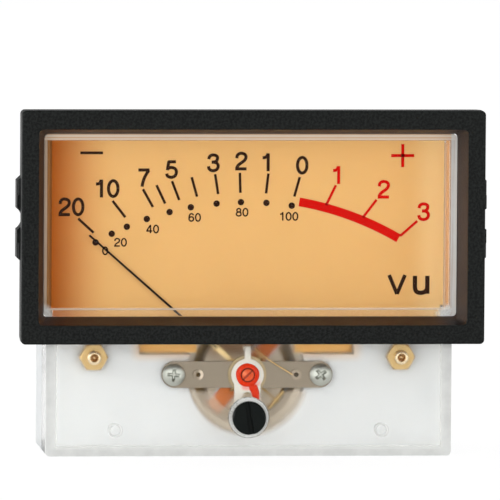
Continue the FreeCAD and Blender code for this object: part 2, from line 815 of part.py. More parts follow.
def make_front_pivot():
    bush_front = winding_front - pivot_bush_length
    tip_back = bridge_back + tip_shoulder
    tip_front = bridge_back + jewel_screw_back_proud - tip_entry
    bush = disc(0, pivot_rise, pivot_bush_radius, bush_front, winding_front)
    shaft = disc(0, pivot_rise, pivot_shaft_radius, tip_back, bush_front)
    collet_front = spring_front - collet_overhang
    collet = disc(0, pivot_rise, collet_radius, collet_front, collet_front + collet_length)
    tip = disc(0, pivot_rise, pivot_tip_radius, tip_front, tip_back)
    return bush.fuse([shaft, collet, tip])


def make_rear_pivot():
    bush_back = winding_back + pivot_bush_length
    tip_front = rear_plate_front - 2 * jewel_screw_back_proud
    tip_back = rear_plate_front - jewel_screw_back_proud + tip_entry
    bush = disc(0, pivot_rise, pivot_bush_radius, winding_back, bush_back)
    shaft = disc(0, pivot_rise, pivot_shaft_radius, bush_back, tip_front)
    collet_front = rear_spring_front - collet_overhang
    collet = disc(0, pivot_rise, collet_radius, collet_front, collet_front + collet_length)
    tip = disc(0, pivot_rise, pivot_tip_radius, tip_front, tip_back)
    return bush.fuse([shaft, collet, tip])


# ---------------------------------------------------------------- zero adjuster
def make_lever_washer():
    plate = disc(0, pivot_rise, washer_radius, washer_front, bridge_front)
    collar = disc(0, pivot_rise, collar_radius, collar_front, washer_front)
    return plate.fuse(collar).cut(disc(0, pivot_rise, jewel_screw_radius, collar_front, bridge_front))


def make_lock_lacquer():
    """Blob of locking lacquer in front of the collar and lever."""
    back = collar_front
    blob = disc(0, pivot_rise, lacquer_radius, back - lacquer_thickness, back)
    front_rim = [e for e in blob.Edges if len(e.Vertexes) == 1 and e.BoundBox.YMax + middle_depth < back - tiny]
    blob = blob.makeFillet(lacquer_thickness * lacquer_roundness, front_rim)
    return blob.cut(disc(0, pivot_rise, jewel_screw_radius, back - lacquer_thickness, back))


def make_zero_lever():
    """Ring on the collar, fork down to the eccentric, tab up and back to the front hairspring."""
    eye = disc(0, pivot_rise, lever_ring_radius, lever_front, lever_back)
    fork_bottom = zero_rise - fork_below_screw
    fork = block(-fork_width / 2, fork_width / 2, lever_front, lever_back, fork_bottom, pivot_rise - collar_radius)
    tab = block(
        -lever_tab_width / 2, lever_tab_width / 2, lever_front, lever_back,
        pivot_rise + collar_radius, pivot_rise + lever_tab_reach,
    )
    leg = block(
        -lever_tab_width / 2, lever_tab_width / 2, lever_front, needle_front - lever_leg_clearance,
        pivot_rise + lever_tab_reach - lever_leg, pivot_rise + lever_tab_reach,
    )
    slot_end = pivot_rise - fork_slot_reach
    slot = block(-fork_slot / 2, fork_slot / 2, lever_front, lever_back, fork_bottom, slot_end)
    slot_round = disc(0, slot_end, fork_slot / 2, lever_front, lever_back)
    bore = disc(0, pivot_rise, collar_radius + lever_gap, lever_front, lever_back)
    return eye.fuse([fork, tab, leg]).cut([slot, slot_round, bore]).removeSplitter()


def make_zero_screw():
    """Slotted head in front of the apron, eccentric pin behind it."""
    head = disc(0, zero_rise, zero_head_radius, zero_head_front, zero_head_back)
    rim = [e for e in head.Edges if len(e.Vertexes) == 1 and e.BoundBox.YMax + middle_depth < zero_head_back - tiny]
    head = head.makeChamfer(zero_head_chamfer, rim)
    slot = block(
        -zero_slot_width / 2, zero_slot_width / 2, zero_head_front, zero_head_front + zero_slot_depth,
        zero_rise - zero_head_radius, zero_rise + zero_head_radius,
    )
    slot.rotate(point(0, 0, zero_rise), FreeCAD.Vector(0, 1, 0), zero_slot_tilt)
    shank = disc(0, zero_rise, zero_shank_radius, zero_head_back, zero_flange_front)
    flange = disc(0, zero_rise, zero_flange_radius, zero_flange_front, zero_flange_back)
    pin = disc(0, zero_rise + eccentric_offset, eccentric_radius, zero_flange_back, lever_back + eccentric_past_lever)
    return head.cut(slot).fuse([shank, flange, pin])


def make_pigtail():
    """Fine wire from the rim of the bridge's drilled pin up to the spring post."""
    lift = pigtail_radius + stake_height
    rim_middle = (stake_radius + stake_drill_radius) / 2
    route = [
        point(stake_spacing / 2 - rim_middle, bridge_front - lift, pivot_rise),
        point(pigtail_bend, bridge_front - lift, pivot_rise + bridge_width / 2 + pigtail_bend_rise),
        point(pigtail_end, spring_front - pigtail_end_gap, pivot_rise + lever_tab_reach - lever_leg / 2),
    ]
    return lead(route, pigtail_radius)


# ---------------------------------------------------------------- terminals
def make_terminal_stud(x):
    stud = disc(x, stud_rise, stud_radius, stud_front, stud_back)
    rims = [e for e in stud.Edges if len(e.Vertexes) == 1]
    stud = stud.makeChamfer(stud_chamfer, rims)
    return stud.cut(disc(x, stud_rise, stud_drill_radius, stud_front, stud_front + stud_drill_depth))


def make_nut(x, depth0):
    blank = hexagon(x, stud_rise, depth0, depth0 + nut_thickness)
    return blank.cut(disc(x, stud_rise, stud_radius, depth0, depth0 + nut_thickness))


def make_front_nut(x):
    return make_nut(x, front_nut_front)


def make_rear_nuts():
    nuts = []
    for side in (-1, 1):
        nuts.append(make_nut(side * stud_spacing / 2, case_back + rear_washer_thickness))
        nuts.append(make_nut(side * stud_spacing / 2, outer_nut_front))
    return Part.makeCompound(nuts)


def make_rear_washer(x):
    return ring(x, stud_rise, rear_washer_radius, stud_radius, case_back, case_back + rear_washer_thickness)


def make_solder_tag(x):
    """Ring terminal with an eyed tail that points up."""
    depth0 = inner_nut_back
    depth1 = inner_nut_back + tag_thickness
    eye = disc(x, stud_rise, tag_radius, depth0, depth1)
    tail_end = stud_rise + tag_tail_length - tag_tail_width / 2
    tail = block(x - tag_tail_width / 2, x + tag_tail_width / 2, depth0, depth1, stud_rise, tail_end)
    tip = disc(x, tail_end, tag_tail_width / 2, depth0, depth1)
    holes = [disc(x, stud_rise, stud_radius, depth0, depth1), disc(x, tail_end, tag_eye_radius, depth0, depth1)]
    return eye.fuse([tail, tip]).cut(holes)


def make_lead_tag(x):
    """Ring on the stud against the inside of the back wall."""
    return ring(x, stud_rise, tag_radius, stud_radius, wall_front - tag_thickness, wall_front)


def make_lead_wires():
    """One lead from each stud: the left to the bridge's insert, the right to the rear plate."""
    wall_depth = wall_front - tag_thickness - lead_radius
    first = stud_spacing / 2 - tag_radius + lead_radius
    left = [
        point(-first, wall_depth, stud_rise),
        point(-first + lead_first_run, wall_depth, stud_rise - lead_sag),
        point(-bridge_screw_spacing / 2 - lead_last_run, wall_depth, pivot_rise - lead_sag),
        point(-bridge_screw_spacing / 2, insert_back, pivot_rise),
    ]
    plate_depth = (rear_plate_front + rear_plate_back) / 2
    right = [
        point(first, wall_depth, stud_rise),
        point(first - lead_first_run, wall_depth, stud_rise - lead_sag),
        point(bridge_screw_spacing / 2, plate_depth, pivot_rise),
        point(rear_plate_radius, plate_depth, pivot_rise),
    ]
    return Part.makeCompound([lead(left, lead_radius), lead(right, lead_radius)])


# ---------------------------------------------------------------- backlight
def make_lamp_board():
    half = lamp_board_width / 2
    board = block(
        -half, half, wall_front - lamp_board_thickness, wall_front,
        lamp_rise - lamp_board_height / 2, lamp_rise + lamp_board_height / 2,
    )
    board_front = wall_front - lamp_board_thickness
    holes = [disc(side * lamp_pin_spacing / 2, lamp_rise, lamp_pin_neck, board_front, wall_front)
             for side in (-1, 1)]
    return board.cut(holes)


def make_lamp_cap(x):
    back = wall_front - lamp_board_thickness
    return disc(x, lamp_rise, lamp_cap_radius, back - lamp_cap_length, back)


def make_lamp_bulb(x):
    back = wall_front - lamp_board_thickness - lamp_cap_length
    dome_centre = back - lamp_length + lamp_radius
    barrel = disc(x, lamp_rise, lamp_radius, dome_centre, back)
    dome = Part.makeSphere(lamp_radius, point(x, dome_centre, lamp_rise))
    return barrel.fuse(dome)


def make_lamp_pin(x):
    front = wall_front - lamp_board_thickness - lamp_pin_proud
    neck = disc(x, lamp_rise, lamp_pin_neck, front, case_back)
    return neck.fuse(disc(x, lamp_rise, lamp_pin_radius, case_back, case_back + lamp_pin_length))


parts = {
    "bezel_frame": make_bezel_frame(),
    "front_cover": make_front_cover(),
    "rear_case": make_rear_case(),
    "scale_plate": make_scale_plate(),
    "front_bridge": make_front_bridge(),
    "bridge_screws": mirrored_pair(make_bridge_screw, bridge_screw_spacing / 2),
    "boss_inserts": mirrored_pair(make_boss_insert, bridge_screw_spacing / 2),
    "front_jewel_screw": make_front_jewel_screw(),
    "lever_washer": make_lever_washer(),
    "lock_lacquer": make_lock_lacquer(),
    "front_hairspring": make_hairspring(spring_front, -90),
    "rear_hairspring": make_hairspring(rear_spring_front, 0),
    "core_magnet": make_core_magnet(),
    "core_posts": mirrored_pair(make_core_post, core_post_offset),
    "yoke_ring": make_yoke_ring(),
    "rear_plate": make_rear_plate(),
    "rear_plate_screws": mirrored_pair(make_rear_plate_screw, rear_screw_spacing / 2),
    "rear_jewel_screw": make_rear_jewel_screw(),
    "pointer": make_pointer(),
    "pointer_socket": make_pointer_socket(),
    "balance_arms": make_balance_arms(),
    "balance_weights": make_balance_weights(),
    "coil_former": make_coil_former(),
    "coil_winding": make_coil_winding(),
    "front_pivot": make_front_pivot(),
    "rear_pivot": make_rear_pivot(),
    "zero_lever": make_zero_lever(),
    "zero_screw": make_zero_screw(),
    "pigtail": make_pigtail(),
    "terminal_studs": mirrored_pair(make_terminal_stud, stud_spacing / 2),
    "stud_nuts_front": mirrored_pair(make_front_nut, stud_spacing / 2),
    "stud_nuts_rear": make_rear_nuts(),
    "rear_washers": mirrored_pair(make_rear_washer, stud_spacing / 2),
    "solder_tags": mirrored_pair(make_solder_tag, stud_spacing / 2),
    "lead_tags": mirrored_pair(make_lead_tag, stud_spacing / 2),
    "lead_wires": make_lead_wires(),
    "lamp_board": make_lamp_board(),
    "lamp_caps": mirrored_pair(make_lamp_cap, lamp_spacing / 2),
    "lamp_bulbs": mirrored_pair(make_lamp_bulb, lamp_spacing / 2),
    "lamp_pins": mirrored_pair(make_lamp_pin, lamp_pin_spacing / 2),
}

os.makedirs("parts", exist_ok=True)
for name, shape in parts.items():
    shape.exportStep(os.path.join("parts", name + ".step"))
    print(name, len(shape.Solids), round(shape.Volume, 3), shape.isValid())
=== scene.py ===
import json
import math

import bmesh
import bpy
import numpy as np
from mathutils import Matrix


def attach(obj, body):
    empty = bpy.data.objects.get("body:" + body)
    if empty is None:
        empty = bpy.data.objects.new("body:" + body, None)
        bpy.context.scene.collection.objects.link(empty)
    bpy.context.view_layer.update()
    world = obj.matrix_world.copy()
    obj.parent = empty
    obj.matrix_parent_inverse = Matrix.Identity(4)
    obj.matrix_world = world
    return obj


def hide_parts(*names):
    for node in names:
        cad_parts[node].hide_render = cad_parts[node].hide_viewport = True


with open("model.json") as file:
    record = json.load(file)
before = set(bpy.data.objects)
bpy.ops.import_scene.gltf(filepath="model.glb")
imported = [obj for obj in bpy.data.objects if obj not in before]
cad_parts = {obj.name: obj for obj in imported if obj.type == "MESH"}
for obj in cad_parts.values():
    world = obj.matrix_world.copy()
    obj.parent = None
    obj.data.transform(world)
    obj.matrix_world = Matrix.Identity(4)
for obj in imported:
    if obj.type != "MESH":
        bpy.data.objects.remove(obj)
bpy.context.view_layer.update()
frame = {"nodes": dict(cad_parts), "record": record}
nodes = frame["nodes"]

# Shapes and masks are in millimetres, as (x, depth, z): depth runs backwards from the frame's front face.
MIDDLE_DEPTH = 18.75           # depth of the plane y = 0
PIVOT = 14.3                   # height of the needle's axis
ADJUSTER = 6.9                 # height of the zero adjuster's axis
STRAP_SCREW_X = 13.2           # the strap's screws, to each side of the middle
STRAP_PIN_X = 8.8              # the strap's drilled pins
STUD_X, STUD_Z = 27.55, 17.45  # the terminal studs
PIP_X, PIP_Z = 23.85, 4.6      # the pips in the cover's apron
PLATE_FRONT = 14.4             # depth of the dial's printed face
COLLAR_FRONT = 10.37           # depth of the collar's face, which the lacquer dab sits on
LEVER_FRONT = 10.42            # depth of the zero lever's face
INK = 0.02                     # thickness of the dial's print


# ---------------------------------------------------------------- mesh helpers
def metres(points):
    """Turns millimetre rows (x, depth, z) into the frame's metres."""
    out = np.array(points, float).reshape(-1, 3)
    out[:, 1] -= MIDDLE_DEPTH
    return out * 0.001


def grid_faces(rows, columns, wrap_rows=False, wrap_columns=False):
    """Quads of a grid of points listed row by row: each joins (i, j), (i, j+1), (i+1, j+1), (i+1, j)."""
    i = np.arange(rows if wrap_rows else rows - 1)
    j = np.arange(columns if wrap_columns else columns - 1)
    a, b = np.meshgrid(i, j, indexing="ij")
    a2, b2 = (a + 1) % rows, (b + 1) % columns
    quads = np.stack([a * columns + b, a * columns + b2, a2 * columns + b2, a2 * columns + b], -1)
    return quads.reshape(-1, 4)


def add_piece(name, points, faces, finish, slot, body="case", replaces=(), smooth=True):
    """Makes one object from millimetre points: doubles merged, normals outward, riding on its body."""
    mesh = bpy.data.meshes.new(name)
    mesh.from_pydata(metres(points).tolist(), [], [list(map(int, f)) for f in faces])
    work = bmesh.new()
    work.from_mesh(mesh)
    bmesh.ops.remove_doubles(work, verts=work.verts, dist=1e-7)
    bmesh.ops.recalc_face_normals(work, faces=work.faces)
    work.to_mesh(mesh)
    work.free()
    mesh.polygons.foreach_set("use_smooth", np.full(len(mesh.polygons), smooth))
    mesh.materials.append(finish)
    piece = bpy.data.objects.new(name, mesh)
    bpy.context.scene.collection.objects.link(piece)
    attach(piece, body)
    if replaces:
        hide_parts(*replaces)


def joined(parts):
    """Lists the points of several (points, faces) pairs one after another, with the faces renumbered."""
    points, faces, start = [], [], 0
    for p, f in parts:
        p = np.array(p, float).reshape(-1, 3)
        points.append(p)
        faces += [[start + int(k) for k in face] for face in f]
        start += len(p)
    return np.concatenate(points), faces


def round_angles(sides):
    """Angles of a full turn in equal steps."""
    return np.linspace(0, 2 * np.pi, sides, endpoint=False)


def turned(profile, axis_x, axis_z, sides, reach=None):
    """Surface of revolution about a depth-wise axis: row k is the circle of radius profile[k][0] at depth
    profile[k][1].  With reach, the radius of each row is reach(row radii, row depths, angles) instead."""
    radius, depth = np.array(profile, float).T
    r, a = np.meshgrid(radius, round_angles(sides), indexing="ij")
    d = np.repeat(depth[:, None], sides, 1)
    if reach is not None:
        r = reach(r, d, a)
    points = np.stack([axis_x + r * np.cos(a), d, axis_z + r * np.sin(a)], -1)
    return points.reshape(-1, 3), grid_faces(len(radius), sides, wrap_columns=True)


def smooth_through(knots, per_span=8):
    """Catmull-Rom curve through the knots: each span is the cubic that leaves a knot along half of the line
    from its neighbour before to its neighbour after."""
    k = np.array(knots, float)
    before = np.vstack([2 * k[0] - k[1], k[:-2]])
    after = np.vstack([k[2:], 2 * k[-1] - k[-2]])
    a, b, c, d = (p[:, None, :] for p in (before, k[:-1], k[1:], after))
    t = np.linspace(0, 1, per_span, endpoint=False)[None, :, None]
    square = 2 * a - 5 * b + 4 * c - d
    cube = 3 * b - a - 3 * c + d
    curve = 0.5 * (2 * b + (c - a) * t + square * t ** 2 + cube * t ** 3)
    return np.vstack([curve.reshape(-1, k.shape[1]), k[-1:]])


# ---------------------------------------------------------------- shader helpers
class Value:
    """A shader socket; an operator on it adds one Math node."""

    def __init__(self, finish, socket):
        self.finish, self.socket = finish, socket

    def math(self, operation, *others):
        return self.finish.node("Math", {"operation": operation}, dict(enumerate((self, *others))))

    def __add__(self, other):
        return self.math("ADD", other)

    def __mul__(self, other):
        return self.math("MULTIPLY", other)

    def __sub__(self, other):
        return self.math("SUBTRACT", other)

    def __rsub__(self, other):
        return self.finish.node("Math", {"operation": "SUBTRACT"}, {0: other, 1: self})

    def __pow__(self, other):
        return self.math("POWER", other)

    __radd__ = __add__
    __rmul__ = __mul__

    def size(self):
        return self.math("ABSOLUTE")

    def most(self, other):
        return self.math("MAXIMUM", other)

    def least(self, other):
        return self.math("MINIMUM", other)

    def between(self, low, high):
        """0 at low, 1 at high, smooth between."""
        return self.finish.node("MapRange", {"interpolation_type": "SMOOTHSTEP"},
                                {"Value": self, "From Min": low, "From Max": high})


def near(offset, full, none):
    """1 where the offset is within full of zero, on either side, and 0 from none outwards."""
    return 1 - offset.size().between(full, none)


def from_axis(across, up):
    """Distance from a depth-wise axis, from the two offsets to it."""
    return (across * across + up * up) ** 0.5


class Finish:
    """One material: a Principled shader whose fixed values are set on its own sockets."""

    def __init__(self, name, **fixed):
        self.material = bpy.data.materials.new(name)
        self.material.use_nodes = True
        self.tree = self.material.node_tree
        self.shader = self.tree.nodes["Principled BSDF"]
        self.set(**fixed)

    def node(self, kind, settings=None, inputs=None, output=0):
        """Adds a node: its settings first, then the values or links of its sockets."""
        node = self.tree.nodes.new("ShaderNode" + kind)
        for key, value in (settings or {}).items():
            setattr(node, key, value)
        for key, value in (inputs or {}).items():
            self.feed(node.inputs[key], value)
        return Value(self, node.outputs[output])

    def feed(self, socket, value):
        if isinstance(value, Value):
            self.tree.links.new(value.socket, socket)
        else:
            socket.default_value = value

    def set(self, **inputs):
        """Feeds the shader's sockets, which are named in lower case with underscores."""
        for key, value in inputs.items():
            self.feed(self.shader.inputs[key.replace("_", " ").title().replace("Ior", "IOR")], value)

    def place(self):
        return self.node("TexCoord", output="Object")

    def axes(self):
        """The place on the object in millimetres, as x, depth and z."""
        scaled = self.node("VectorMath", {"operation": "MULTIPLY_ADD"},
                           {0: self.place(), 1: (1000, 1000, 1000), 2: (0, MIDDLE_DEPTH, 0)})
        split = self.node("SeparateXYZ", None, {0: scaled})
        return tuple(Value(self, s) for s in split.socket.node.outputs)

    def noise(self, scale, detail=3.0, roughness=0.55, vector=None):
        """Noise from about 0 to 1; scale is its number of cells to the metre."""
        return self.node("TexNoise", None, {
            "Vector": vector or self.place(), "Scale": scale, "Detail": detail, "Roughness": roughness})

    def mix(self, factor, first, second):
        """Colour that goes from first to second with the factor."""
        node = self.node("Mix", {"data_type": "RGBA"}, output=2)
        sockets = node.socket.node.inputs
        self.feed(sockets[0], factor)
        for socket, colour in ((sockets[6], first), (sockets[7], second)):
            self.feed(socket, colour if isinstance(colour, Value) else (*colour, 1))
        return node

    def mix_value(self, factor, first, second):
        """Number that goes from first to second with the factor."""
        return first + factor * (second - first)

    def finish_with(self, surface):
        """Makes this surface the material's own."""
        self.feed(self.tree.nodes["Material Output"].inputs["Surface"], surface)

    def rays(self, *kinds):
        """Masks of the rays of these kinds."""
        outputs = self.node("LightPath").socket.node.outputs
        return [Value(self, outputs[f"Is {kind} Ray"]) for kind in kinds]

    def let_light_through(self, surface, share):
        """Clear pieces cast only a faint shadow: a lamp's shadow ray passes straight, tinted by share."""
        shadow, = self.rays("Shadow")
        clear = self.node("BsdfTransparent", None, {"Color": (share, share, share, 1)})
        self.finish_with(self.node("MixShader", None, {0: shadow, 1: surface, 2: clear}))

    def frost_and_painted_light(self, share, colour, surface=None):
        """Ground or scuffed places of a clear piece, and painted light and shade on it: a plain scatter of
        the colour mixed in by share.
        """
        scatter = self.node("BsdfDiffuse", None, {"Color": (*colour, 1), "Roughness": 0.4})
        under = surface or Value(self, self.shader.outputs[0])
        return self.node("MixShader", None, {0: share, 1: under, 2: scatter})

    def bump(self, height, relief, strength=1.0, edges=None):
        """Bump of this relief in millimetres; edges is the radius that sharp edges are shaded to."""
        values = {"Height": height, "Distance": relief * 0.001, "Strength": strength}
        if edges:
            values["Normal"] = self.node("Bevel", {"samples": 4}, {"Radius": edges * 0.001})
        return self.node("Bump", None, values)


def stretched(finish, x, y, z):
    """Object coordinates scaled along each axis, for brushed or drawn grain."""
    return finish.node("Mapping", None, {"Vector": finish.place(), "Scale": (x, y, z)})


# ---------------------------------------------------------------- finishes
def moulded_black():
    """Fine-grained black moulding.  The sloped walls of its recess carry a painted brown reflection of the
    dial, lighter on the right, and painted shade in the lower right corner."""
    f = Finish("moulded_black", specular_ior_level=0.12)
    grain = f.noise(2300, 2.0, 0.6).between(0.32, 0.68)
    patch = f.noise(160, 3.0)
    x, depth, z = f.axes()
    front = f.mix(grain * 0.75 + patch * 0.25, (0.0025, 0.003, 0.0028), (0.019, 0.0215, 0.0203))
    recess = near(x, 38.4, 38.6) * near(z - 41.4, 17.5, 17.7) * depth.between(0.07, 0.75)
    # Painted reflection of the dial's amber light on the recess walls, lighter on the right.
    glow = f.mix(x.between(36.6, 37.0), (0.043, 0.0145, 0.006), (0.066, 0.046, 0.037))
    # Painted shade in the recess's lower right corner.
    corner = x.between(33.5, 36.2) * (1 - z.between(24.3, 25.0))
    f.set(base_color=f.mix(recess, front, f.mix(corner, glow, (0.012, 0.009, 0.008))))
    f.set(roughness=patch * 0.16 + 0.38, normal=f.bump(grain, 0.03, 0.65, edges=0.12))
    return f.material


def clear_cover():
    """Clear moulding.  Its window block is nearly polished.  Its apron is hazy, most over the well and
    beside the strap, so that what lies deep behind it looks soft."""
    f = Finish("clear_cover", base_color=(0.99, 0.985, 0.97, 1), ior=1.49, transmission_weight=1.0,
               specular_tint=(0.04, 0.04, 0.04, 1))
    swirl = f.noise(60, 2.0)
    scratch = f.noise(900, 3.0, 0.7)
    x, depth, z = f.axes()
    side, up = x.size(), z - PIVOT
    apron = 1 - z.between(20.0, 23.5)
    from_pivot = from_axis(x, up)
    over_well = up.size().between(2.5, 3.4) * (1 - from_pivot.between(9.2, 13.0))
    beside_well = z.between(14.5, 19.0) * side.between(10.5, 12.5)
    beside_strap = z.between(11.5, 16.5) * side.between(16.0, 19.0)
    haze = over_well.most(beside_well.most(beside_strap)) * 0.105 + 0.13
    # Ring over the well: the apron's scatter there is beige, painted light that lightens the shade deep in
    # the well.
    ring = from_pivot.between(6.7, 7.5) * (1 - from_pivot.between(10.0, 11.2))
    over_ring = ring * (1 - z.between(11.0, 12.0))
    f.set(normal=f.bump(swirl * 0.7 + scratch * 0.02, 0.02, 0.35, edges=0.18))
    f.set(roughness=scratch.between(0.6, 0.9) * 0.03 + apron * haze)
    f.let_light_through(cover_frost(f, x, depth, z, apron * over_ring * 0.3), 0.95)
    return f.material


def apron_marks(f, x, z, speck):
    """Shares of pale and of dark scatter on the cover's apron.  Pale are painted light along its edges, a
    pale ring round the adjuster, and painted highlights on the rims of the two pips, most on their right.
    Dark are pits in that ring and a broken line of painted shade round it."""
    side = x.size()
    # Painted light along the apron's side and bottom edges.
    edge = side.between(34.3, 34.7).most(1 - z.between(1.4, 2.0)) * 0.92
    from_adjuster = from_axis(x, z - ADJUSTER)
    ring = (1 - from_adjuster.between(3.50, 3.60)) * (speck.between(0.3, 0.45) * 0.3 + 0.65)
    # Painted highlight on the pips' rims, most on their right.
    pip = near(from_axis(side - PIP_X, z - PIP_Z) - 1.07, 0.10, 0.28)
    lit_left = (x + PIP_X).between(0.3, 0.9) * (1 - x.between(-21.5, -20.5))
    lit = (x - PIP_X).between(0.3, 0.9).most(lit_left)
    pale = edge.most(ring).most(pip * (lit * 0.55 + 0.35))
    pits = f.noise(6500, 1.0, 0.4).between(0.54, 0.60) * 0.55
    upper_left = (1 - x.between(-2.2, -1.6)) * z.between(6.6, 7.8)
    # Painted shade: a broken dark line round the pale ring.
    outline = near(from_adjuster - 3.62, 0.03, 0.10) * speck.between(0.4, 0.6) * 0.6
    return pale, (ring * upper_left * pits).most(outline)


def cover_frost(f, x, depth, z, haze):
    """Coats of scatter over the cover, from the lowest up: painted reflections of the dial, amber and brown
    on its walls beside it and a blush along the top; painted highlights on its rims, ledge and top; the
    apron's haze, beige over the well's ring as painted light; pale marks and painted corner highlights; and
    dark pits."""
    streak = f.noise(260, 3.0, 0.6).between(0.25, 0.75) * 0.14 + 0.86
    speck = f.noise(2600, 2.0, 0.6)
    lines = f.noise(2600, 1.0, 0.5, stretched(f, 1, 1, 0.03)).between(0.35, 0.65)
    side, right = x.size(), x.between(-1, 1)
    front = 1 - depth.between(8.65, 8.85)
    window = z.between(25.05, 25.15)

    inner_wall = side.between(35.6, 35.8)
    rim = side.between(36.3, 36.5)
    top = z.between(56.5, 56.7)
    left = (1 - right) * window * inner_wall * front
    behind = (1 - front) * (1 - depth.between(14.25, 14.55))
    wall_behind = inner_wall * (1 - side.between(36.0, 36.2)) * behind
    # Painted dark line at the left wall's inner corner.
    painted_dark_line = near(x + 35.66, 0.06, 0.16) * (1 - top) * window * front
    # Painted pink line of light on the right wall.
    painted_pink_line = near(x - 34.8, 0.10, 0.22) * (1 - z.between(56.0, 56.4)) * z.between(26.2, 26.6) * window
    # Painted highlights: two glints along the top.
    glint = near(z - 57.35, 0.14, 0.30).most(near(z - 56.80, 0.10, 0.20)) * top
    # Painted highlight along the ledge at the window's bottom.
    ledge = (near(z - 26.45, 0.12, 0.26) * 0.4).most((1 - z.between(26.2, 26.4)) * 0.07)
    # Painted highlights in the window's lower corners, broken up by specks.
    corner = 1 - from_axis((side - 36.9) * (1.3 - right * 0.7), z - 25.4).between(1.1, 2.4)
    painted_corner_glint = corner * (speck.between(0.35, 0.6) * 0.2 + 0.8)
    # Painted pale highlight streaks on the right wall, together with the corner highlights.
    cool = (x.between(35.7, 35.9) * (lines * 0.35 + 0.55)).most(painted_corner_glint)
    marks, pits = apron_marks(f, x, z, speck)

    # Painted reflections of the dial on the walls in amber, brown and blush; painted highlights in the warm
    # and pale coats.
    amber_share = window * (inner_wall * front * 0.6).most(wall_behind * 0.75) - left * 0.6
    warm_share = window * (rim * (right * 0.3 + 0.55)).most(ledge).most(glint) * front * streak
    pale_share = f.mix_value(window, marks, cool) * front * streak
    amber = f.frost_and_painted_light(amber_share, (0.64, 0.33, 0.13))
    brown = f.frost_and_painted_light((left * 0.75).most(painted_dark_line * 0.7), (0.34, 0.13, 0.035), amber)
    blush = f.frost_and_painted_light(top.most(painted_pink_line * 0.6) * front * 0.85, (0.95, 0.62, 0.36), brown)
    warm = f.frost_and_painted_light(warm_share, (0.97, 0.84, 0.70), blush)
    # The apron's haze, beige over the well's ring as painted light.
    haze_and_painted_light = f.frost_and_painted_light(haze * front, (0.82, 0.72, 0.58), warm)
    pale = f.frost_and_painted_light(pale_share, (0.95, 0.96, 0.94), haze_and_painted_light)
    return f.frost_and_painted_light((1 - window) * pits * front, (0.06, 0.06, 0.055), pale)


def milky_case():
    """Milky moulding with painted amber light where it faces the dial: inside its walls above the deck, and
    on the deck below the dial's tab."""
    f = Finish("milky_case", ior=1.5, specular_ior_level=0.3, subsurface_weight=0.8, subsurface_scale=0.005,
               subsurface_radius=(1.0, 0.97, 0.93))
    cloud = f.noise(90, 4.0)
    fine = f.noise(1400, 2.0)
    x, depth, z = f.axes()
    side = x.size()
    plain = f.mix(cloud, (0.745, 0.775, 0.78), (0.80, 0.825, 0.825))
    within = (1 - side.between(36.0, 36.6)) * (1 - z.between(56.6, 57.2))
    near_dial = z.between(23.5, 26.2) * (1 - depth.between(17.75, 19.75)) * within
    deck = (1 - depth.between(13.95, 14.55)) * (1 - z.between(22.5, 23.5))
    under_tab = (1 - side.between(18.8, 21.6)) * z.between(16.0, 18.4) * deck
    # Painted amber light from the dial on the walls beside it and on the deck under its tab.
    f.set(base_color=f.mix((near_dial * 0.85).most(under_tab * 0.6), plain, (0.88, 0.56, 0.30)))
    f.set(roughness=fine * 0.15 + 0.3, normal=f.bump(fine, 0.015, 0.4, edges=0.15))
    return f.material


def amber_dial():
    """Amber sheet: painted shade deepens its left end to dark orange, it is pale at its right end, and a
    painted glow makes the tab below bright.
    """
    f = Finish("amber_dial", ior=1.48, subsurface_weight=0.2, subsurface_scale=0.002,
               subsurface_radius=(1.0, 0.7, 0.4), specular_ior_level=0.03)
    cloud = f.noise(55, 3.0)
    grain = f.noise(4200, 2.0)
    x, depth, z = f.axes()
    amber = f.mix(cloud.between(0.3, 0.7), (0.735, 0.425, 0.160), (0.765, 0.447, 0.170))
    # Painted shade: deep orange towards the left end.
    amber = f.mix(x.between(-37.5, -23), (0.43, 0.095, 0.001), amber)
    amber = f.mix(x.between(28.5, 34.5), amber, (0.91, 0.62, 0.29))
    # Painted glow: the tab below the dial is bright orange.
    amber = f.mix(z.between(22.6, 23.6), (1.0, 0.57, 0.20), amber)
    f.set(base_color=f.mix(grain * 0.3, amber, f.mix(0.12, amber, (0.3, 0.1, 0.01))))
    f.set(roughness=grain * 0.12 + 0.34, normal=f.bump(grain, 0.008, 0.4, edges=0.08))
    return f.material


def ink(name, dark, light):
    """Printed ink with a faint grain."""
    f = Finish(name, roughness=0.45, specular_ior_level=0.03)
    grain = f.noise(6000, 2.0)
    f.set(base_color=f.mix(grain, dark, light), normal=f.bump(grain, 0.004, 0.5))
    return f.material


def metal(name, dark, light, roughness, scale=(1, 1, 1), grain_scale=900):
    """Bright or plated metal: cloudy tone, fine grain drawn out by scale, and rounded edges."""
    f = Finish(name, metallic=1.0)
    grain = f.noise(grain_scale, 3.0, 0.6, stretched(f, *scale))
    cloud = f.noise(220, 3.0)
    f.set(base_color=f.mix(grain * 0.5 + cloud * 0.5, dark, light))
    f.set(roughness=cloud * 0.15 + roughness, normal=f.bump(grain, 0.01, 0.5, edges=0.08))
    return f.material


def plain_plastic(name, dark, light, roughness, **fixed):
    """Moulded plastic: cloudy tone, fine grain and rounded edges."""
    f = Finish(name, **fixed)
    grain = f.noise(1500, 3.0)
    cloud = f.noise(130, 3.0)
    f.set(base_color=f.mix(cloud, dark, light))
    f.set(roughness=grain * 0.14 + roughness, normal=f.bump(grain, 0.012, 0.4, edges=0.08))
    return f.material


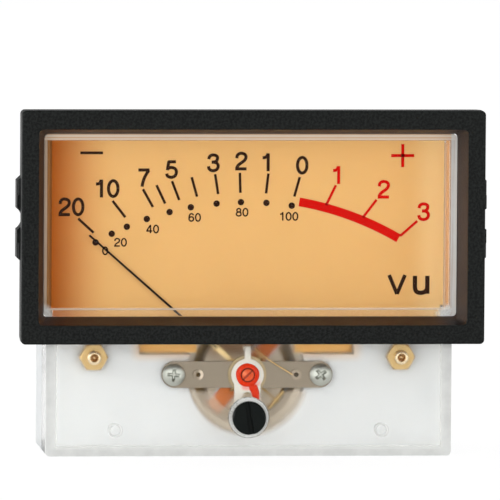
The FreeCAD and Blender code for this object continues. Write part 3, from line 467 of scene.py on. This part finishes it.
def wound_copper():
    """Enamelled wire: fine turns side by side across the depth, as half-round ridges; darker at the top, as
    painted shade.
    """
    f = Finish("wound_copper", metallic=0.6)
    turns = f.node("TexWave", {"wave_type": "BANDS", "bands_direction": "Y", "wave_profile": "SIN"},
                   {"Vector": f.place(), "Scale": 1900.0, "Distortion": 0.4, "Detail": 1.0}, output=1)
    cloud = f.noise(300, 3.0)
    z = f.axes()[2]
    wire = f.mix(turns * 0.6 + cloud * 0.4, (0.48, 0.10, 0.02), (0.95, 0.34, 0.09))
    # Painted shade at the top of the well.
    f.set(base_color=f.mix(z.between(14.5, 17.5), wire, (0.44, 0.11, 0.02)))
    f.set(roughness=cloud * 0.2 + 0.24, normal=f.bump(turns, 0.03, 0.8, edges=0.1))
    return f.material


def well_iron(name, dark, light, roughness, scale):
    """Dull plated iron with painted brown shade and amber reflection towards the top of the well."""
    f = Finish(name, metallic=0.1)
    grain = f.noise(scale, 3.0, 0.6)
    cloud = f.noise(240, 3.0)
    brown = f.mix(cloud.between(0.35, 0.6), (0.16, 0.075, 0.03), (0.42, 0.26, 0.14))
    x, depth, z = f.axes()
    # Painted shade and reflected amber of the dial, near the top of the well.
    shaded = z.between(16.0, 18.5) * x.between(-7.5, -5.0) * (1 - x.between(3.0, 4.8))
    f.set(base_color=f.mix(shaded, f.mix(grain, dark, light), brown))
    f.set(roughness=grain * 0.15 + roughness, normal=f.bump(grain, 0.01, 0.5, edges=0.08))
    return f.material


def clear_bulb():
    """Clear glass with a faint haze."""
    f = Finish("clear_bulb", base_color=(0.98, 0.98, 0.97, 1), ior=1.46, transmission_weight=1.0)
    haze = f.noise(500, 3.0)
    f.set(roughness=haze * 0.05, normal=f.bump(haze, 0.01, 0.2))
    return f.material


def fibre_board():
    """Laminate whose weave is two crossed waves."""
    f = Finish("fibre_board")
    across, up = (
        f.node("TexWave", {"bands_direction": axis}, {"Vector": f.place(), "Scale": 500.0}, output=1)
        for axis in "XZ")
    weave = across * 0.5 + up * 0.5
    f.set(base_color=f.mix(weave, (0.40, 0.29, 0.11), (0.62, 0.48, 0.23)))
    f.set(roughness=weave * 0.2 + 0.4, normal=f.bump(weave, 0.02, 0.4, edges=0.08))
    return f.material


def strap_satin():
    """Brushed strap with painted highlights on the rims of its two drilled pins and painted shade in their
    holes, the left one more.
    """
    f = Finish("strap_satin", metallic=1.0)
    grain = f.noise(1500, 3.0, 0.6, stretched(f, 0.3, 1, 2.5))
    cloud = f.noise(220, 3.0)
    x, depth, z = f.axes()
    from_pin = from_axis(x.size() - STRAP_PIN_X, z - PIVOT)
    pin = 1 - from_pin.between(0.94, 0.98)
    # Painted light: strong on the right half of the left pin, faint on the right pin; highlight on the rim,
    # shade in the hole.
    lit = x.between(-9.0, -8.2) * (1 - x.between(0, 1) * 0.8)
    hole = f.mix(lit, (0.24, 0.205, 0.16), (0.16, 0.135, 0.10))
    rim = f.mix(lit, (0.25, 0.21, 0.16), (0.62, 0.53, 0.42))
    plain = f.mix(grain * 0.5 + cloud * 0.5, (0.21, 0.177, 0.137), (0.285, 0.245, 0.19))
    f.set(base_color=f.mix(pin, plain, f.mix(from_pin.between(0.3, 0.5), hole, rim)))
    f.set(roughness=cloud * 0.15 + 0.42 - pin * 0.14, normal=f.bump(grain, 0.01, 0.5, edges=0.08))
    return f.material


def white_lever():
    """Off-white moulding, stained where thinned lacquer crept over it below the pivot."""
    f = Finish("lever_white", subsurface_weight=0.2, subsurface_scale=0.001,
               subsurface_radius=(1.0, 0.95, 0.9))
    cloud = f.noise(130, 3.0)
    grain = f.noise(1500, 3.0)
    x, depth, z = f.axes()
    up = z - PIVOT
    film = (1 - from_axis(x, up).between(2.45, 3.0)) * (1 - up.between(-1.9, -0.7)) * x.between(-1.4, -0.6)
    plain = f.mix(cloud, (0.62, 0.60, 0.54), (0.72, 0.70, 0.64))
    f.set(base_color=f.mix(film * 0.6, plain, (0.80, 0.10, 0.07)))
    f.set(roughness=grain * 0.14 + 0.36, normal=f.bump(grain, 0.012, 0.4, edges=0.08))
    return f.material


def red_lacquer():
    """Glossy red lacquer with painted shade in the crevice round the screw."""
    f = Finish("red_lacquer", specular_ior_level=0.15)
    cloud = f.noise(130, 3.0)
    grain = f.noise(1500, 3.0)
    x, depth, z = f.axes()
    # Painted shade in the crevice round the screw.
    crevice = near(from_axis(x, z - PIVOT) - 1.09, 0.13, 0.26)
    red = f.mix(cloud, (0.56, 0.016, 0.001), (0.68, 0.036, 0.003))
    f.set(base_color=f.mix(crevice * 0.95, red, (0.05, 0.006, 0.002)))
    f.set(roughness=grain * 0.14 + 0.12, normal=f.bump(grain, 0.012, 0.4, edges=0.08))
    return f.material


def jewel_bronze():
    """Copper-red screw end with a slot at 45 degrees painted dark as shade, and a paler patch of painted
    highlight.
    """
    f = Finish("bronze_screw", metallic=0.3, specular_ior_level=0.3)
    grain = f.noise(1400, 3.0)
    x, depth, z = f.axes()
    up = z - PIVOT
    # Painted shade of a slot at 45 degrees.
    slot = near(x - up, 0.14, 0.30) * (1 - depth.between(10.85, 10.95))
    # Painted highlight: a paler patch to the upper left.
    painted_highlight = 1 - from_axis(x + 0.6, up - 0.3).between(0.1, 0.6)
    red = f.mix(grain, (0.57, 0.048, 0.008), (0.71, 0.11, 0.03))
    red = f.mix(painted_highlight * 0.5, red, (0.86, 0.33, 0.16))
    f.set(base_color=f.mix(slot * 0.55, red, (0.12, 0.014, 0.006)))
    f.set(roughness=grain * 0.15 + 0.3, normal=f.bump(grain, 0.01, 0.5, edges=0.08))
    return f.material


def stud_brass():
    """Bright brass, with painted brown shade inside the drilled front end and round its mouth."""
    f = Finish("stud_brass", metallic=1.0)
    grain = f.noise(1300, 3.0, 0.6)
    x, depth, z = f.axes()
    from_stud = from_axis(x.size() - STUD_X, z - STUD_Z)
    # Painted shade: brown in the bore and in a ring round its mouth.
    bore = (1 - from_stud.between(0.70, 0.86)) * (1 - depth.between(10.35, 10.45))
    bright = f.mix(grain, (0.74, 0.58, 0.36), (0.93, 0.80, 0.58))
    f.set(base_color=f.mix(bore, bright, (0.50, 0.31, 0.14)))
    f.set(roughness=grain * 0.15 + 0.2, normal=f.bump(grain, 0.01, 0.5, edges=0.08))
    return f.material


# One finish for each of the record's material slots.
finishes = {
    "black_abs": moulded_black(),
    "clear_acrylic": clear_cover(),
    "milky_plastic": milky_case(),
    "amber_acrylic": amber_dial(),
    "bridge_metal": strap_satin(),
    "zinc_steel": metal("zinc_plate", (0.38, 0.395, 0.36), (0.56, 0.58, 0.53), 0.26, grain_scale=700),
    "brass": metal("turned_brass", (0.46, 0.31, 0.13), (0.64, 0.46, 0.22), 0.25, grain_scale=1100),
    "bronze": jewel_bronze(),
    "spring_bronze": metal("gold_wire", (0.70, 0.48, 0.20), (0.92, 0.74, 0.42), 0.25, grain_scale=2500),
    "magnet_alloy": well_iron("cast_magnet", (0.66, 0.57, 0.44), (0.80, 0.70, 0.56), 0.5, 900),
    "soft_iron": well_iron("yellow_iron", (0.74, 0.66, 0.54), (0.86, 0.78, 0.66), 0.45, 600),
    "needle_black": plain_plastic("needle_black", (0.008, 0.004, 0.003), (0.02, 0.011, 0.008), 0.4,
                                  specular_ior_level=0.1),
    "aluminium": metal("folded_aluminium", (0.60, 0.60, 0.61), (0.82, 0.82, 0.83), 0.28, (1, 0.3, 1)),
    "copper_wire": wound_copper(),
    "pivot_steel": metal("pivot_steel", (0.45, 0.45, 0.46), (0.66, 0.66, 0.67), 0.15, grain_scale=2000),
    "white_plastic": white_lever(),
    "black_nylon": plain_plastic("adjuster_black", (0.003, 0.005, 0.0045), (0.008, 0.011, 0.010), 0.3,
                                 specular_ior_level=0.12),
    "tinned_brass": metal("tinned", (0.50, 0.49, 0.46), (0.74, 0.73, 0.69), 0.3, grain_scale=800),
    "lead_insulation": plain_plastic("lead_red", (0.42, 0.03, 0.02), (0.55, 0.05, 0.035), 0.4),
    "board_laminate": fibre_board(),
    "lamp_cap_metal": metal("lamp_cap", (0.55, 0.55, 0.56), (0.78, 0.78, 0.80), 0.2, grain_scale=900),
    "lamp_glass": clear_bulb(),
    "red_lacquer": red_lacquer(),
}
bright_brass = stud_brass()
dull_brass = metal("washer_brass", (0.30, 0.235, 0.135), (0.42, 0.34, 0.21), 0.4, grain_scale=900)
black_ink = ink("dial_black", (0.020, 0.008, 0.004), (0.040, 0.017, 0.009))
red_ink = ink("dial_red", (0.53, 0.002, 0.001), (0.61, 0.007, 0.003))

for row in frame["record"]["subparts"]:
    node = nodes[row["node"]]
    finish = dull_brass if row["node"] == "lever_washer" else finishes[row["material_slot"]]
    if node.material_slots:
        node.material_slots[0].material = finish
    else:
        node.data.materials.append(finish)


# ---------------------------------------------------------------- dial print
LINE, CURVE, BOW = "line", "curve", "bow"  # a bow is a curve with a straight leg at each end


def oval(centre_x, centre_z, half_width, half_height):
    """A closed oval stroke: points of an ellipse at 16 equal steps of its angle."""
    knots = [(centre_x + half_width * math.cos(a), centre_z + half_height * math.sin(a))
             for a in np.linspace(0, 2 * math.pi, 17)]
    return knots, CURVE


# Strokes of each figure in a box one unit high: (knots, kind).
GLYPHS = {
    "0": [oval(0.27, 0.5, 0.205, 0.437)],
    "1": [([(0.33, 0.0), (0.33, 1.0)], LINE),
          ([(0.09, 0.755), (0.19, 0.765), (0.27, 0.83), (0.315, 0.985)], CURVE)],
    "2": [([(0.075, 0.66), (0.10, 0.82), (0.19, 0.92), (0.285, 0.935), (0.40, 0.895), (0.465, 0.79),
            (0.465, 0.67), (0.40, 0.53), (0.27, 0.40), (0.15, 0.28), (0.085, 0.15), (0.075, 0.065)], CURVE),
          ([(0.01, 0.065), (0.50, 0.065)], LINE)],
    "3": [([(0.075, 0.70), (0.10, 0.83), (0.18, 0.92), (0.27, 0.937), (0.37, 0.915), (0.445, 0.83),
            (0.445, 0.70), (0.38, 0.58), (0.27, 0.54), (0.20, 0.54)], CURVE),
          ([(0.20, 0.54), (0.30, 0.54), (0.41, 0.49), (0.475, 0.38), (0.475, 0.25), (0.41, 0.12),
            (0.29, 0.064), (0.18, 0.08), (0.09, 0.17), (0.063, 0.31)], CURVE)],
    "4": [([(0.375, 0.0), (0.375, 1.0)], LINE),
          ([(0.36, 0.955), (0.05, 0.285)], LINE),
          ([(0.015, 0.27), (0.53, 0.27)], LINE)],
    "5": [([(0.46, 0.93), (0.125, 0.93)], LINE),
          ([(0.155, 0.96), (0.09, 0.46)], LINE),
          ([(0.085, 0.50), (0.17, 0.59), (0.28, 0.61), (0.40, 0.56), (0.47, 0.44), (0.475, 0.29),
            (0.42, 0.14), (0.30, 0.065), (0.18, 0.075), (0.09, 0.15), (0.063, 0.27)], CURVE)],
    "6": [oval(0.28, 0.315, 0.195, 0.25),
          ([(0.085, 0.33), (0.09, 0.55), (0.14, 0.80), (0.24, 0.92), (0.35, 0.92), (0.44, 0.82),
            (0.455, 0.74)], CURVE)],
    "7": [([(0.02, 0.93), (0.50, 0.93)], LINE),
          ([(0.475, 0.90), (0.36, 0.69), (0.26, 0.42), (0.20, 0.14), (0.185, 0.0)], CURVE)],
    "8": [oval(0.275, 0.735, 0.165, 0.20),
          oval(0.275, 0.295, 0.205, 0.232)],
    "V": [([(0.065, 1.0), (0.40, 0.0)], LINE),
          ([(0.735, 1.0), (0.40, 0.0)], LINE)],
    "U": [([(0.085, 1.0), (0.085, 0.36), (0.12, 0.20), (0.20, 0.105), (0.31, 0.075), (0.42, 0.09),
            (0.52, 0.15), (0.585, 0.26), (0.605, 0.42), (0.605, 1.0)], BOW),
          ([(0.605, 0.5), (0.605, 0.02)], LINE)],
}
FIGURE_WIDTH = 0.55            # box of a figure, in units of its height
FIGURE_ADVANCE = 0.585         # from one figure to the next
ADVANCE = {"1": 0.55, "V": 0.93, "U": 0.9}
STROKE_STEP = 0.002            # each stroke of a figure is this much thicker than the one before


def ribbon(path, width, thickness=INK):
    """Printed stroke on the dial: the centre line moved half a width to each side, thickened towards the
    reader, as a closed strip with square ends."""
    path = np.array(path, float)
    along = np.gradient(path, axis=0)
    along /= np.linalg.norm(along, axis=1)[:, None]
    side = np.stack([-along[:, 1], along[:, 0]], 1) * width / 2
    left, right = path + side, path - side
    front, back = PLATE_FRONT - thickness, PLATE_FRONT
    corners = [np.stack([line[:, 0], np.full(len(line), depth), line[:, 1]], 1)
               for line, depth in ((left, front), (right, front), (right, back), (left, back))]
    points = np.stack(corners, 1).reshape(-1, 3)
    faces = grid_faces(len(path), 4, wrap_columns=True).tolist()
    last = 4 * (len(path) - 1)
    faces += [[0, 1, 2, 3], [last + 3, last + 2, last + 1, last]]
    return points, faces


def stroke_line(knots, kind):
    """Centre line of one stroke."""
    if kind == LINE:
        return knots
    if kind == CURVE:
        return smooth_through(knots)
    return np.vstack([knots[:1], smooth_through(knots[1:-1]), knots[-1:]])


def figure_strokes(text, centre, height, weight, stretch=1.3):
    """Strokes of a row of figures centred on a point of the dial, widened by stretch.  Their thicknesses
    differ, so that no two faces coincide where strokes cross."""
    advances = [ADVANCE.get(c, FIGURE_ADVANCE) for c in text]
    start = -sum(advances) / 2
    parts = []
    for c, advance in zip(text, advances):
        margin = 0 if c in "VU" else (advance - FIGURE_WIDTH) / 2
        for k, (knots, kind) in enumerate(GLYPHS[c]):
            line = stroke_line(np.array(knots, float) + (start + margin, -0.5), kind)
            placed = np.array(centre) + line * (height * stretch, height)
            parts.append(ribbon(placed, weight, INK + STROKE_STEP * k))
        start += advance
    return parts


def spot(centre, radius):
    """Round dot: a short closed cylinder."""
    front = PLATE_FRONT - INK
    return turned([(0, front), (radius, front), (radius, PLATE_FRONT), (0, PLATE_FRONT)], *centre, sides=28)


PRINT_SCALE = (0.9904, 0.986)  # of the whole print, across and up
PRINT_SHIFT = (-0.11, 0.31)    # of the print's own centre from the needle's axis


def on_dial(x, z):
    """Place on the dial of a point that is measured from the print's own centre."""
    return PRINT_SCALE[0] * x + PRINT_SHIFT[0], PIVOT + PRINT_SCALE[1] * z + PRINT_SHIFT[1]


ARC_CENTRE = -23.5             # height from the print's own centre of the one that the scale's arcs share
# Radii of the arcs that carry the figures, the ticks' ends, the red band and the dots.
LEVEL_FIGURES = 61.75
TICK_END = 59.65
TICK_START = (56.0, 55.7)      # black, red
BAND = 55.2
SPOTS = 54.3
PERCENT_FIGURES = 52.1

TICK_WIDTH = 0.46
BAND_WIDTH = 1.58
SPOT_RADIUS = 0.58
MINUS_WIDTH, PLUS_WIDTH = 0.5, 0.55
LEVEL_SIZE = {"height": 3.2, "weight": 0.56}
PERCENT_SIZE = {"height": 1.52, "weight": 0.26, "stretch": 1.36}
BLACK, RED = 0, 1

# Angle of each tick, its label, the label's offset from the tick's line in millimetres, and its ink.
TICKS = [
    (-47.5, "20", 0.4, 0.63, BLACK), (-37.9, "10", 0.3, 0.52, BLACK), (-29.4, "7", 1.26, 0.23, BLACK),
    (-25.6, "", 0, 0, BLACK), (-21.2, "5", 0.68, 0.14, BLACK), (-15.6, "", 0, 0, BLACK),
    (-8.9, "3", 0.0, -0.02, BLACK), (-1.8, "2", 0.32, 0.02, BLACK), (6.4, "1", -0.52, -0.05, BLACK),
    (15.4, "0", -0.11, 0.12, BLACK), (25.7, "1", -0.66, -0.07, RED), (37.2, "2", 0.01, 0.18, RED),
    (48.7, "3", -0.5, 0.23, RED)]
# Angle of each dot, its label, and the label's offset from the dot's line.
DOTS = [
    (-49.2, "0", 0, 0), (-44.1, "20", 0, 0.1), (-39.3, "", 0, 0), (-32.9, "40", -0.15, 0.07),
    (-25.5, "", 0, 0), (-18.5, "60", 0, 0.26), (-9.9, "", 0, 0), (-1.7, "80", 0.16, 0.36),
    (6.9, "", 0, 0), (15.4, "100", 0.08, 0.18)]


def arc_point(angle, radius):
    """Point where the ray at this angle from the print's own centre meets an arc about the arcs' centre."""
    s, c = math.sin(math.radians(angle)), math.cos(math.radians(angle))
    reach = ARC_CENTRE * c + math.sqrt(max(radius ** 2 - (ARC_CENTRE * s) ** 2, 0))
    return reach * s, reach * c


def print_dial():
    """Both inks of the dial: ticks, dots, their figures, the red band, the signs and the unit's letters."""
    inks = [[], []]
    for angle, label, right, up, colour in TICKS:
        tick = [on_dial(*arc_point(angle, radius)) for radius in (TICK_START[colour], TICK_END)]
        inks[colour].append(ribbon(tick, TICK_WIDTH))
        if label:
            x, z = on_dial(*arc_point(angle, LEVEL_FIGURES))
            inks[colour] += figure_strokes(label, (x + right, z + up), **LEVEL_SIZE)
    for angle, label, right, up in DOTS:
        inks[BLACK].append(spot(on_dial(*arc_point(angle, SPOTS)), SPOT_RADIUS))
        if label:
            x, z = on_dial(*arc_point(angle, PERCENT_FIGURES))
            inks[BLACK] += figure_strokes(label, (x + right, z + up), **PERCENT_SIZE)
    band = [on_dial(*arc_point(a, BAND)) for a in np.linspace(17.4, 48.9, 48)]
    inks[RED].append(ribbon(band, BAND_WIDTH))
    minus = [on_dial(-30.05, 39.75), on_dial(-25.95, 39.75)]
    plus = [on_dial(26.32, 39.27), on_dial(30.5, 39.27)], [on_dial(28.41, 37.17), on_dial(28.41, 41.37)]
    inks[BLACK].append(ribbon(minus, MINUS_WIDTH))
    inks[RED] += [ribbon(bar, PLUS_WIDTH) for bar in plus]
    inks[BLACK] += figure_strokes("V", on_dial(27.83, 15.8), height=3.4, weight=0.66, stretch=1.26)
    inks[BLACK] += figure_strokes("U", on_dial(32.39, 15.7), height=3.3, weight=0.78)
    add_piece("dial_print_black", *joined(inks[BLACK]), black_ink, slot="needle_black", smooth=False)
    add_piece("dial_print_red", *joined(inks[RED]), red_ink, slot="red_lacquer", smooth=False)


# ---------------------------------------------------------------- small hardware
def thread_reach(crest, pitch, depth_of_thread, start, end):
    """Radius of a threaded row: the crest less a saw that repeats each pitch and turns with the angle, and
    fades out beyond start and end."""
    def reach(r, d, a):
        phase = np.mod(d / pitch - a / (2 * np.pi), 1.0)
        saw = np.abs(phase - 0.5) * 2
        inside = np.clip((d - start) / pitch, 0, 1) * np.clip((end - d) / pitch, 0, 1)
        return np.where(r > crest - 1e-6, r - depth_of_thread * saw * inside, r)
    return reach


def terminal_stud(x):
    """Threaded stud: blind drilled front end, plain middle inside the case, threaded rear end."""
    front, back, crest = 9.2, 37.5, 1.25
    bore, bore_depth = 0.62, 1.1
    chamfer = 0.25
    pitch, thread_depth = 0.45, 0.2
    thread_from, row_step = 30.0, 0.06
    rear = [(crest, d) for d in np.arange(thread_from, back - chamfer - 0.01, row_step)]
    profile = [(0, front + bore_depth + 0.1), (bore, front + bore_depth), (bore, front + 0.06),
               (bore + 0.06, front), (crest - chamfer, front), (crest - 0.05, front + 0.16),
               (crest, front + chamfer), (crest, thread_from - 0.1)]
    profile += rear + [(crest, back - chamfer), (crest - chamfer, back), (0, back)]
    thread = thread_reach(crest, pitch, thread_depth, thread_from + 0.2, back - chamfer)
    return turned(profile, x, STUD_Z, sides=40, reach=thread)


def domed_head(x, z, radius, front, rise, tilt, recess, back, shank):
    """Screw with a domed head: rings of points whose depth is the front's, plus the dome's fall with the
    radius to the power 2.4, plus the recess there; then the rim, the underside and the shank."""
    sides = 128
    ring_r = np.concatenate([np.linspace(0.001, 0.97, 46), [1.0]]) * radius
    angle = round_angles(sides)
    r, a = np.meshgrid(ring_r, angle, indexing="ij")
    dome = rise * 0.62 * (r / radius) ** 2.4
    d = front + dome + recess(r * np.cos(a + tilt), r * np.sin(a + tilt))
    points = [np.stack([x + r * np.cos(a), d, z + r * np.sin(a)], -1)]
    for rr, dd in ((radius, front + rise * 0.72), (radius * 0.985, front + rise), (shank, front + rise),
                   (shank, back - 0.3), (shank * 0.6, back), (0.0, back)):
        row = np.stack([x + rr * np.cos(angle), np.full(sides, dd), z + rr * np.sin(angle)], -1)
        points.append(row[None])
    points = np.concatenate(points, 0)
    faces = grid_faces(points.shape[0], sides, wrap_columns=True).tolist()
    return points.reshape(-1, 3), faces + [list(range(sides - 1, -1, -1))]


def cross_recess(depth, length, width):
    """Cross recess: each arm is as deep as the smaller of its two wall distances allows."""
    side_run, end_run = 0.16, 0.55  # widths of its sloped walls

    def recess(u, v):
        deep = np.zeros_like(u)
        for p, q in ((u, v), (v, u)):
            side = np.clip((width - np.abs(q)) / side_run, 0, 1)
            end = np.clip((length - np.abs(p)) / end_run, 0, 1)
            deep = np.maximum(deep, np.minimum(side, end))
        return depth * deep
    return recess


def bridge_screw(side):
    """The strap's screw on the left (-1) or the right (1), its cross a little askew."""
    recess = cross_recess(depth=0.55, length=1.2, width=0.3)
    return domed_head(x=side * STRAP_SCREW_X, z=PIVOT, radius=2.0, front=10.4, rise=0.9,
                      tilt=0.5 + 0.4 * side, recess=recess, back=19.3, shank=0.8)


def make_hardware():
    studs = joined([terminal_stud(s * STUD_X) for s in (-1, 1)])
    add_piece("studs_threaded", *studs, bright_brass, slot="brass", replaces=["terminal_studs"])
    heads = joined([bridge_screw(s) for s in (-1, 1)])
    add_piece("bridge_screws_cross", *heads, finishes["zinc_steel"], slot="zinc_steel",
              replaces=["bridge_screws"])


def make_lacquer_dab():
    """Dab of locking lacquer: rings whose outline wavers a little, domed between the screw and its rim."""
    sides, screw_rim, rim = 96, 1.07, 2.1
    angle = round_angles(sides)
    outer = rim * (1 + 0.012 * np.sin(3 * angle + 0.6) + 0.01 * np.sin(5 * angle))
    rows = []
    # Share of the way from the screw to the rim, and the height there.
    for t, lift in ((0, 0.0), (0, 0.33), (0.12, 0.36), (0.35, 0.345), (0.6, 0.31), (0.8, 0.25), (0.92, 0.17),
                    (0.98, 0.08), (1.0, 0.0)):
        r = screw_rim + (outer - screw_rim) * t
        depth = np.full(sides, COLLAR_FRONT - lift)
        rows.append(np.stack([r * np.cos(angle), depth, PIVOT + r * np.sin(angle)], -1))
    add_piece("lacquer_dab", np.stack(rows).reshape(-1, 3),
              grid_faces(len(rows), sides, wrap_rows=True, wrap_columns=True),
              finishes["red_lacquer"], slot="red_lacquer", replaces=["lock_lacquer"])


def make_lacquer_run():
    """Lacquer that ran down the lever's right arm: a half-round film along a spine, tapered at both ends."""
    film = 0.09
    spine = smooth_through([(0.92, -1.72), (1.15, -2.5), (1.45, -3.4), (1.62, -4.5), (1.68, -5.6)],
                           per_span=6)
    half = smooth_through([(0, 0.95), (1, 0.85), (2, 0.72), (3, 0.62), (4, 0.5)], per_span=6)[:, 1]
    across = np.linspace(-1, 1, 13)
    dome = np.sqrt(np.clip(1 - across ** 2, 0, 1))
    taper = np.sqrt(np.clip(np.sin(np.linspace(0.5, np.pi - 0.06, len(spine))), 0, 1))[:, None]
    x = spine[:, :1] + half[:, None] * taper * across
    z = np.broadcast_to(PIVOT + spine[:, 1:], x.shape)
    top = LEVER_FRONT - film * taper * dome
    front_sheet = np.stack([x, top, z], -1)
    back_sheet = np.stack([x, np.full_like(top, LEVER_FRONT), z], -1)[:, ::-1]
    loop = np.concatenate([front_sheet, back_sheet], 1)
    rows, n = loop.shape[:2]
    faces = grid_faces(rows, n, wrap_columns=True).tolist()
    last = n * (rows - 1)
    faces += [list(range(n)), list(range(last + n - 1, last - 1, -1))]
    add_piece("lacquer_run", loop.reshape(-1, 3), faces, finishes["red_lacquer"], body="zero_lever",
              slot="red_lacquer")


print_dial()
make_hardware()
make_lacquer_dab()
make_lacquer_run()


# ---------------------------------------------------------------- floor, light and camera, in metres
def make_floor():
    """Pale floor, which camera, transmission and, from behind the object, glossy rays see as white."""
    reach, low = 14.0, -0.0002
    most_white, strength = 0.7, 1.24
    mesh = bpy.data.meshes.new("floor")
    corners = [(-reach, -reach, low), (reach, -reach, low), (reach, reach, low), (-reach, reach, low)]
    mesh.from_pydata(corners, [], [(0, 1, 2, 3)])
    floor = bpy.data.objects.new("floor", mesh)
    bpy.context.scene.collection.objects.link(floor)
    f = Finish("floor_white", base_color=(0.85, 0.85, 0.85, 1), roughness=0.9)
    x, depth, z = f.axes()
    camera, transmission, glossy = f.rays("Camera", "Transmission", "Glossy")
    seen = camera + transmission + depth.between(38.75, 48.75) * glossy
    glow = f.node("Emission", None, {"Color": (1, 1, 1, 1), "Strength": strength})
    plain = Value(f, f.shader.outputs[0])
    f.finish_with(f.node("MixShader", None, {0: seen.least(most_white), 1: plain, 2: glow}))
    mesh.materials.append(f.material)


def make_world():
    """Soft room light of half strength, seen as white by camera and transmission rays."""
    world = bpy.data.worlds.new("studio")
    world.use_nodes = True
    bpy.context.scene.world = world
    tree = world.node_tree
    tree.nodes.clear()
    path = tree.nodes.new("ShaderNodeLightPath")
    seen = tree.nodes.new("ShaderNodeMath")
    seen.operation = "MAXIMUM"
    tree.links.new(path.outputs["Is Camera Ray"], seen.inputs[0])
    tree.links.new(path.outputs["Is Transmission Ray"], seen.inputs[1])
    mixed = tree.nodes.new("ShaderNodeMixShader")
    tree.links.new(seen.outputs[0], mixed.inputs[0])
    for place, strength in ((1, 0.5), (2, 1.0)):
        light = tree.nodes.new("ShaderNodeBackground")
        light.inputs["Color"].default_value = (1, 1, 1, 1)
        light.inputs["Strength"].default_value = strength
        tree.links.new(light.outputs[0], mixed.inputs[place])
    out = tree.nodes.new("ShaderNodeOutputWorld")
    tree.links.new(mixed.outputs[0], out.inputs["Surface"])


def stand(thing, right, up, back, place):
    """Stands a lamp or camera at a place, looking against back."""
    axes = np.stack([right, up, back], 1)
    thing.matrix_world = Matrix([[*row, p] for row, p in zip(axes, place)] + [[0, 0, 0, 1]])


def square_to(back):
    """Level and rising directions square to back."""
    level = np.cross((0, 0, 1), back)
    level /= np.linalg.norm(level)
    return level, np.cross(back, level)


def softbox(name, place, size, power):
    """Rectangular lamp that faces the part's middle and that clear pieces don't show."""
    aim = (0, 0, 0.03)
    lamp = bpy.data.lights.new(name, "AREA")
    lamp.shape = "RECTANGLE"
    lamp.size, lamp.size_y = size
    lamp.energy = power
    box = bpy.data.objects.new(name, lamp)
    bpy.context.scene.collection.objects.link(box)
    box.visible_transmission = False
    back = np.array(place) - aim
    back /= np.linalg.norm(back)
    stand(box, *square_to(back), back, place)


def make_camera():
    """Long lens at the reader's left and a little above, looking at the dial's middle."""
    sensor, picture_width, focal_length = 36.0, 500, 10572.9   # the last two in pixels
    roll = math.radians(0.3769)
    place = (-0.181628, -1.881945, 0.176039)
    back = np.array([-0.09639145, -0.99260102, 0.07383706])
    level, rise = square_to(back)
    right = level * math.cos(roll) + rise * math.sin(roll)
    up = rise * math.cos(roll) - level * math.sin(roll)
    camera = bpy.data.cameras.new("camera")
    camera.sensor_width = sensor
    camera.lens = focal_length / picture_width * sensor
    camera.clip_start, camera.clip_end = 0.05, 60
    holder = bpy.data.objects.new("camera", camera)
    bpy.context.scene.collection.objects.link(holder)
    stand(holder, right, up, back, place)
    bpy.context.scene.camera = holder


make_floor()
make_world()
softbox("key", (-0.7, -1.8, 0.22), (0.8, 0.4), 7.6)
softbox("fill", (0.95, -1.65, 0.2), (0.8, 0.4), 4.5)
softbox("side", (-2.0, -0.1, 0.3), (0.8, 0.5), 18)
make_camera()
bpy.context.scene.view_settings.view_transform = "Standard"
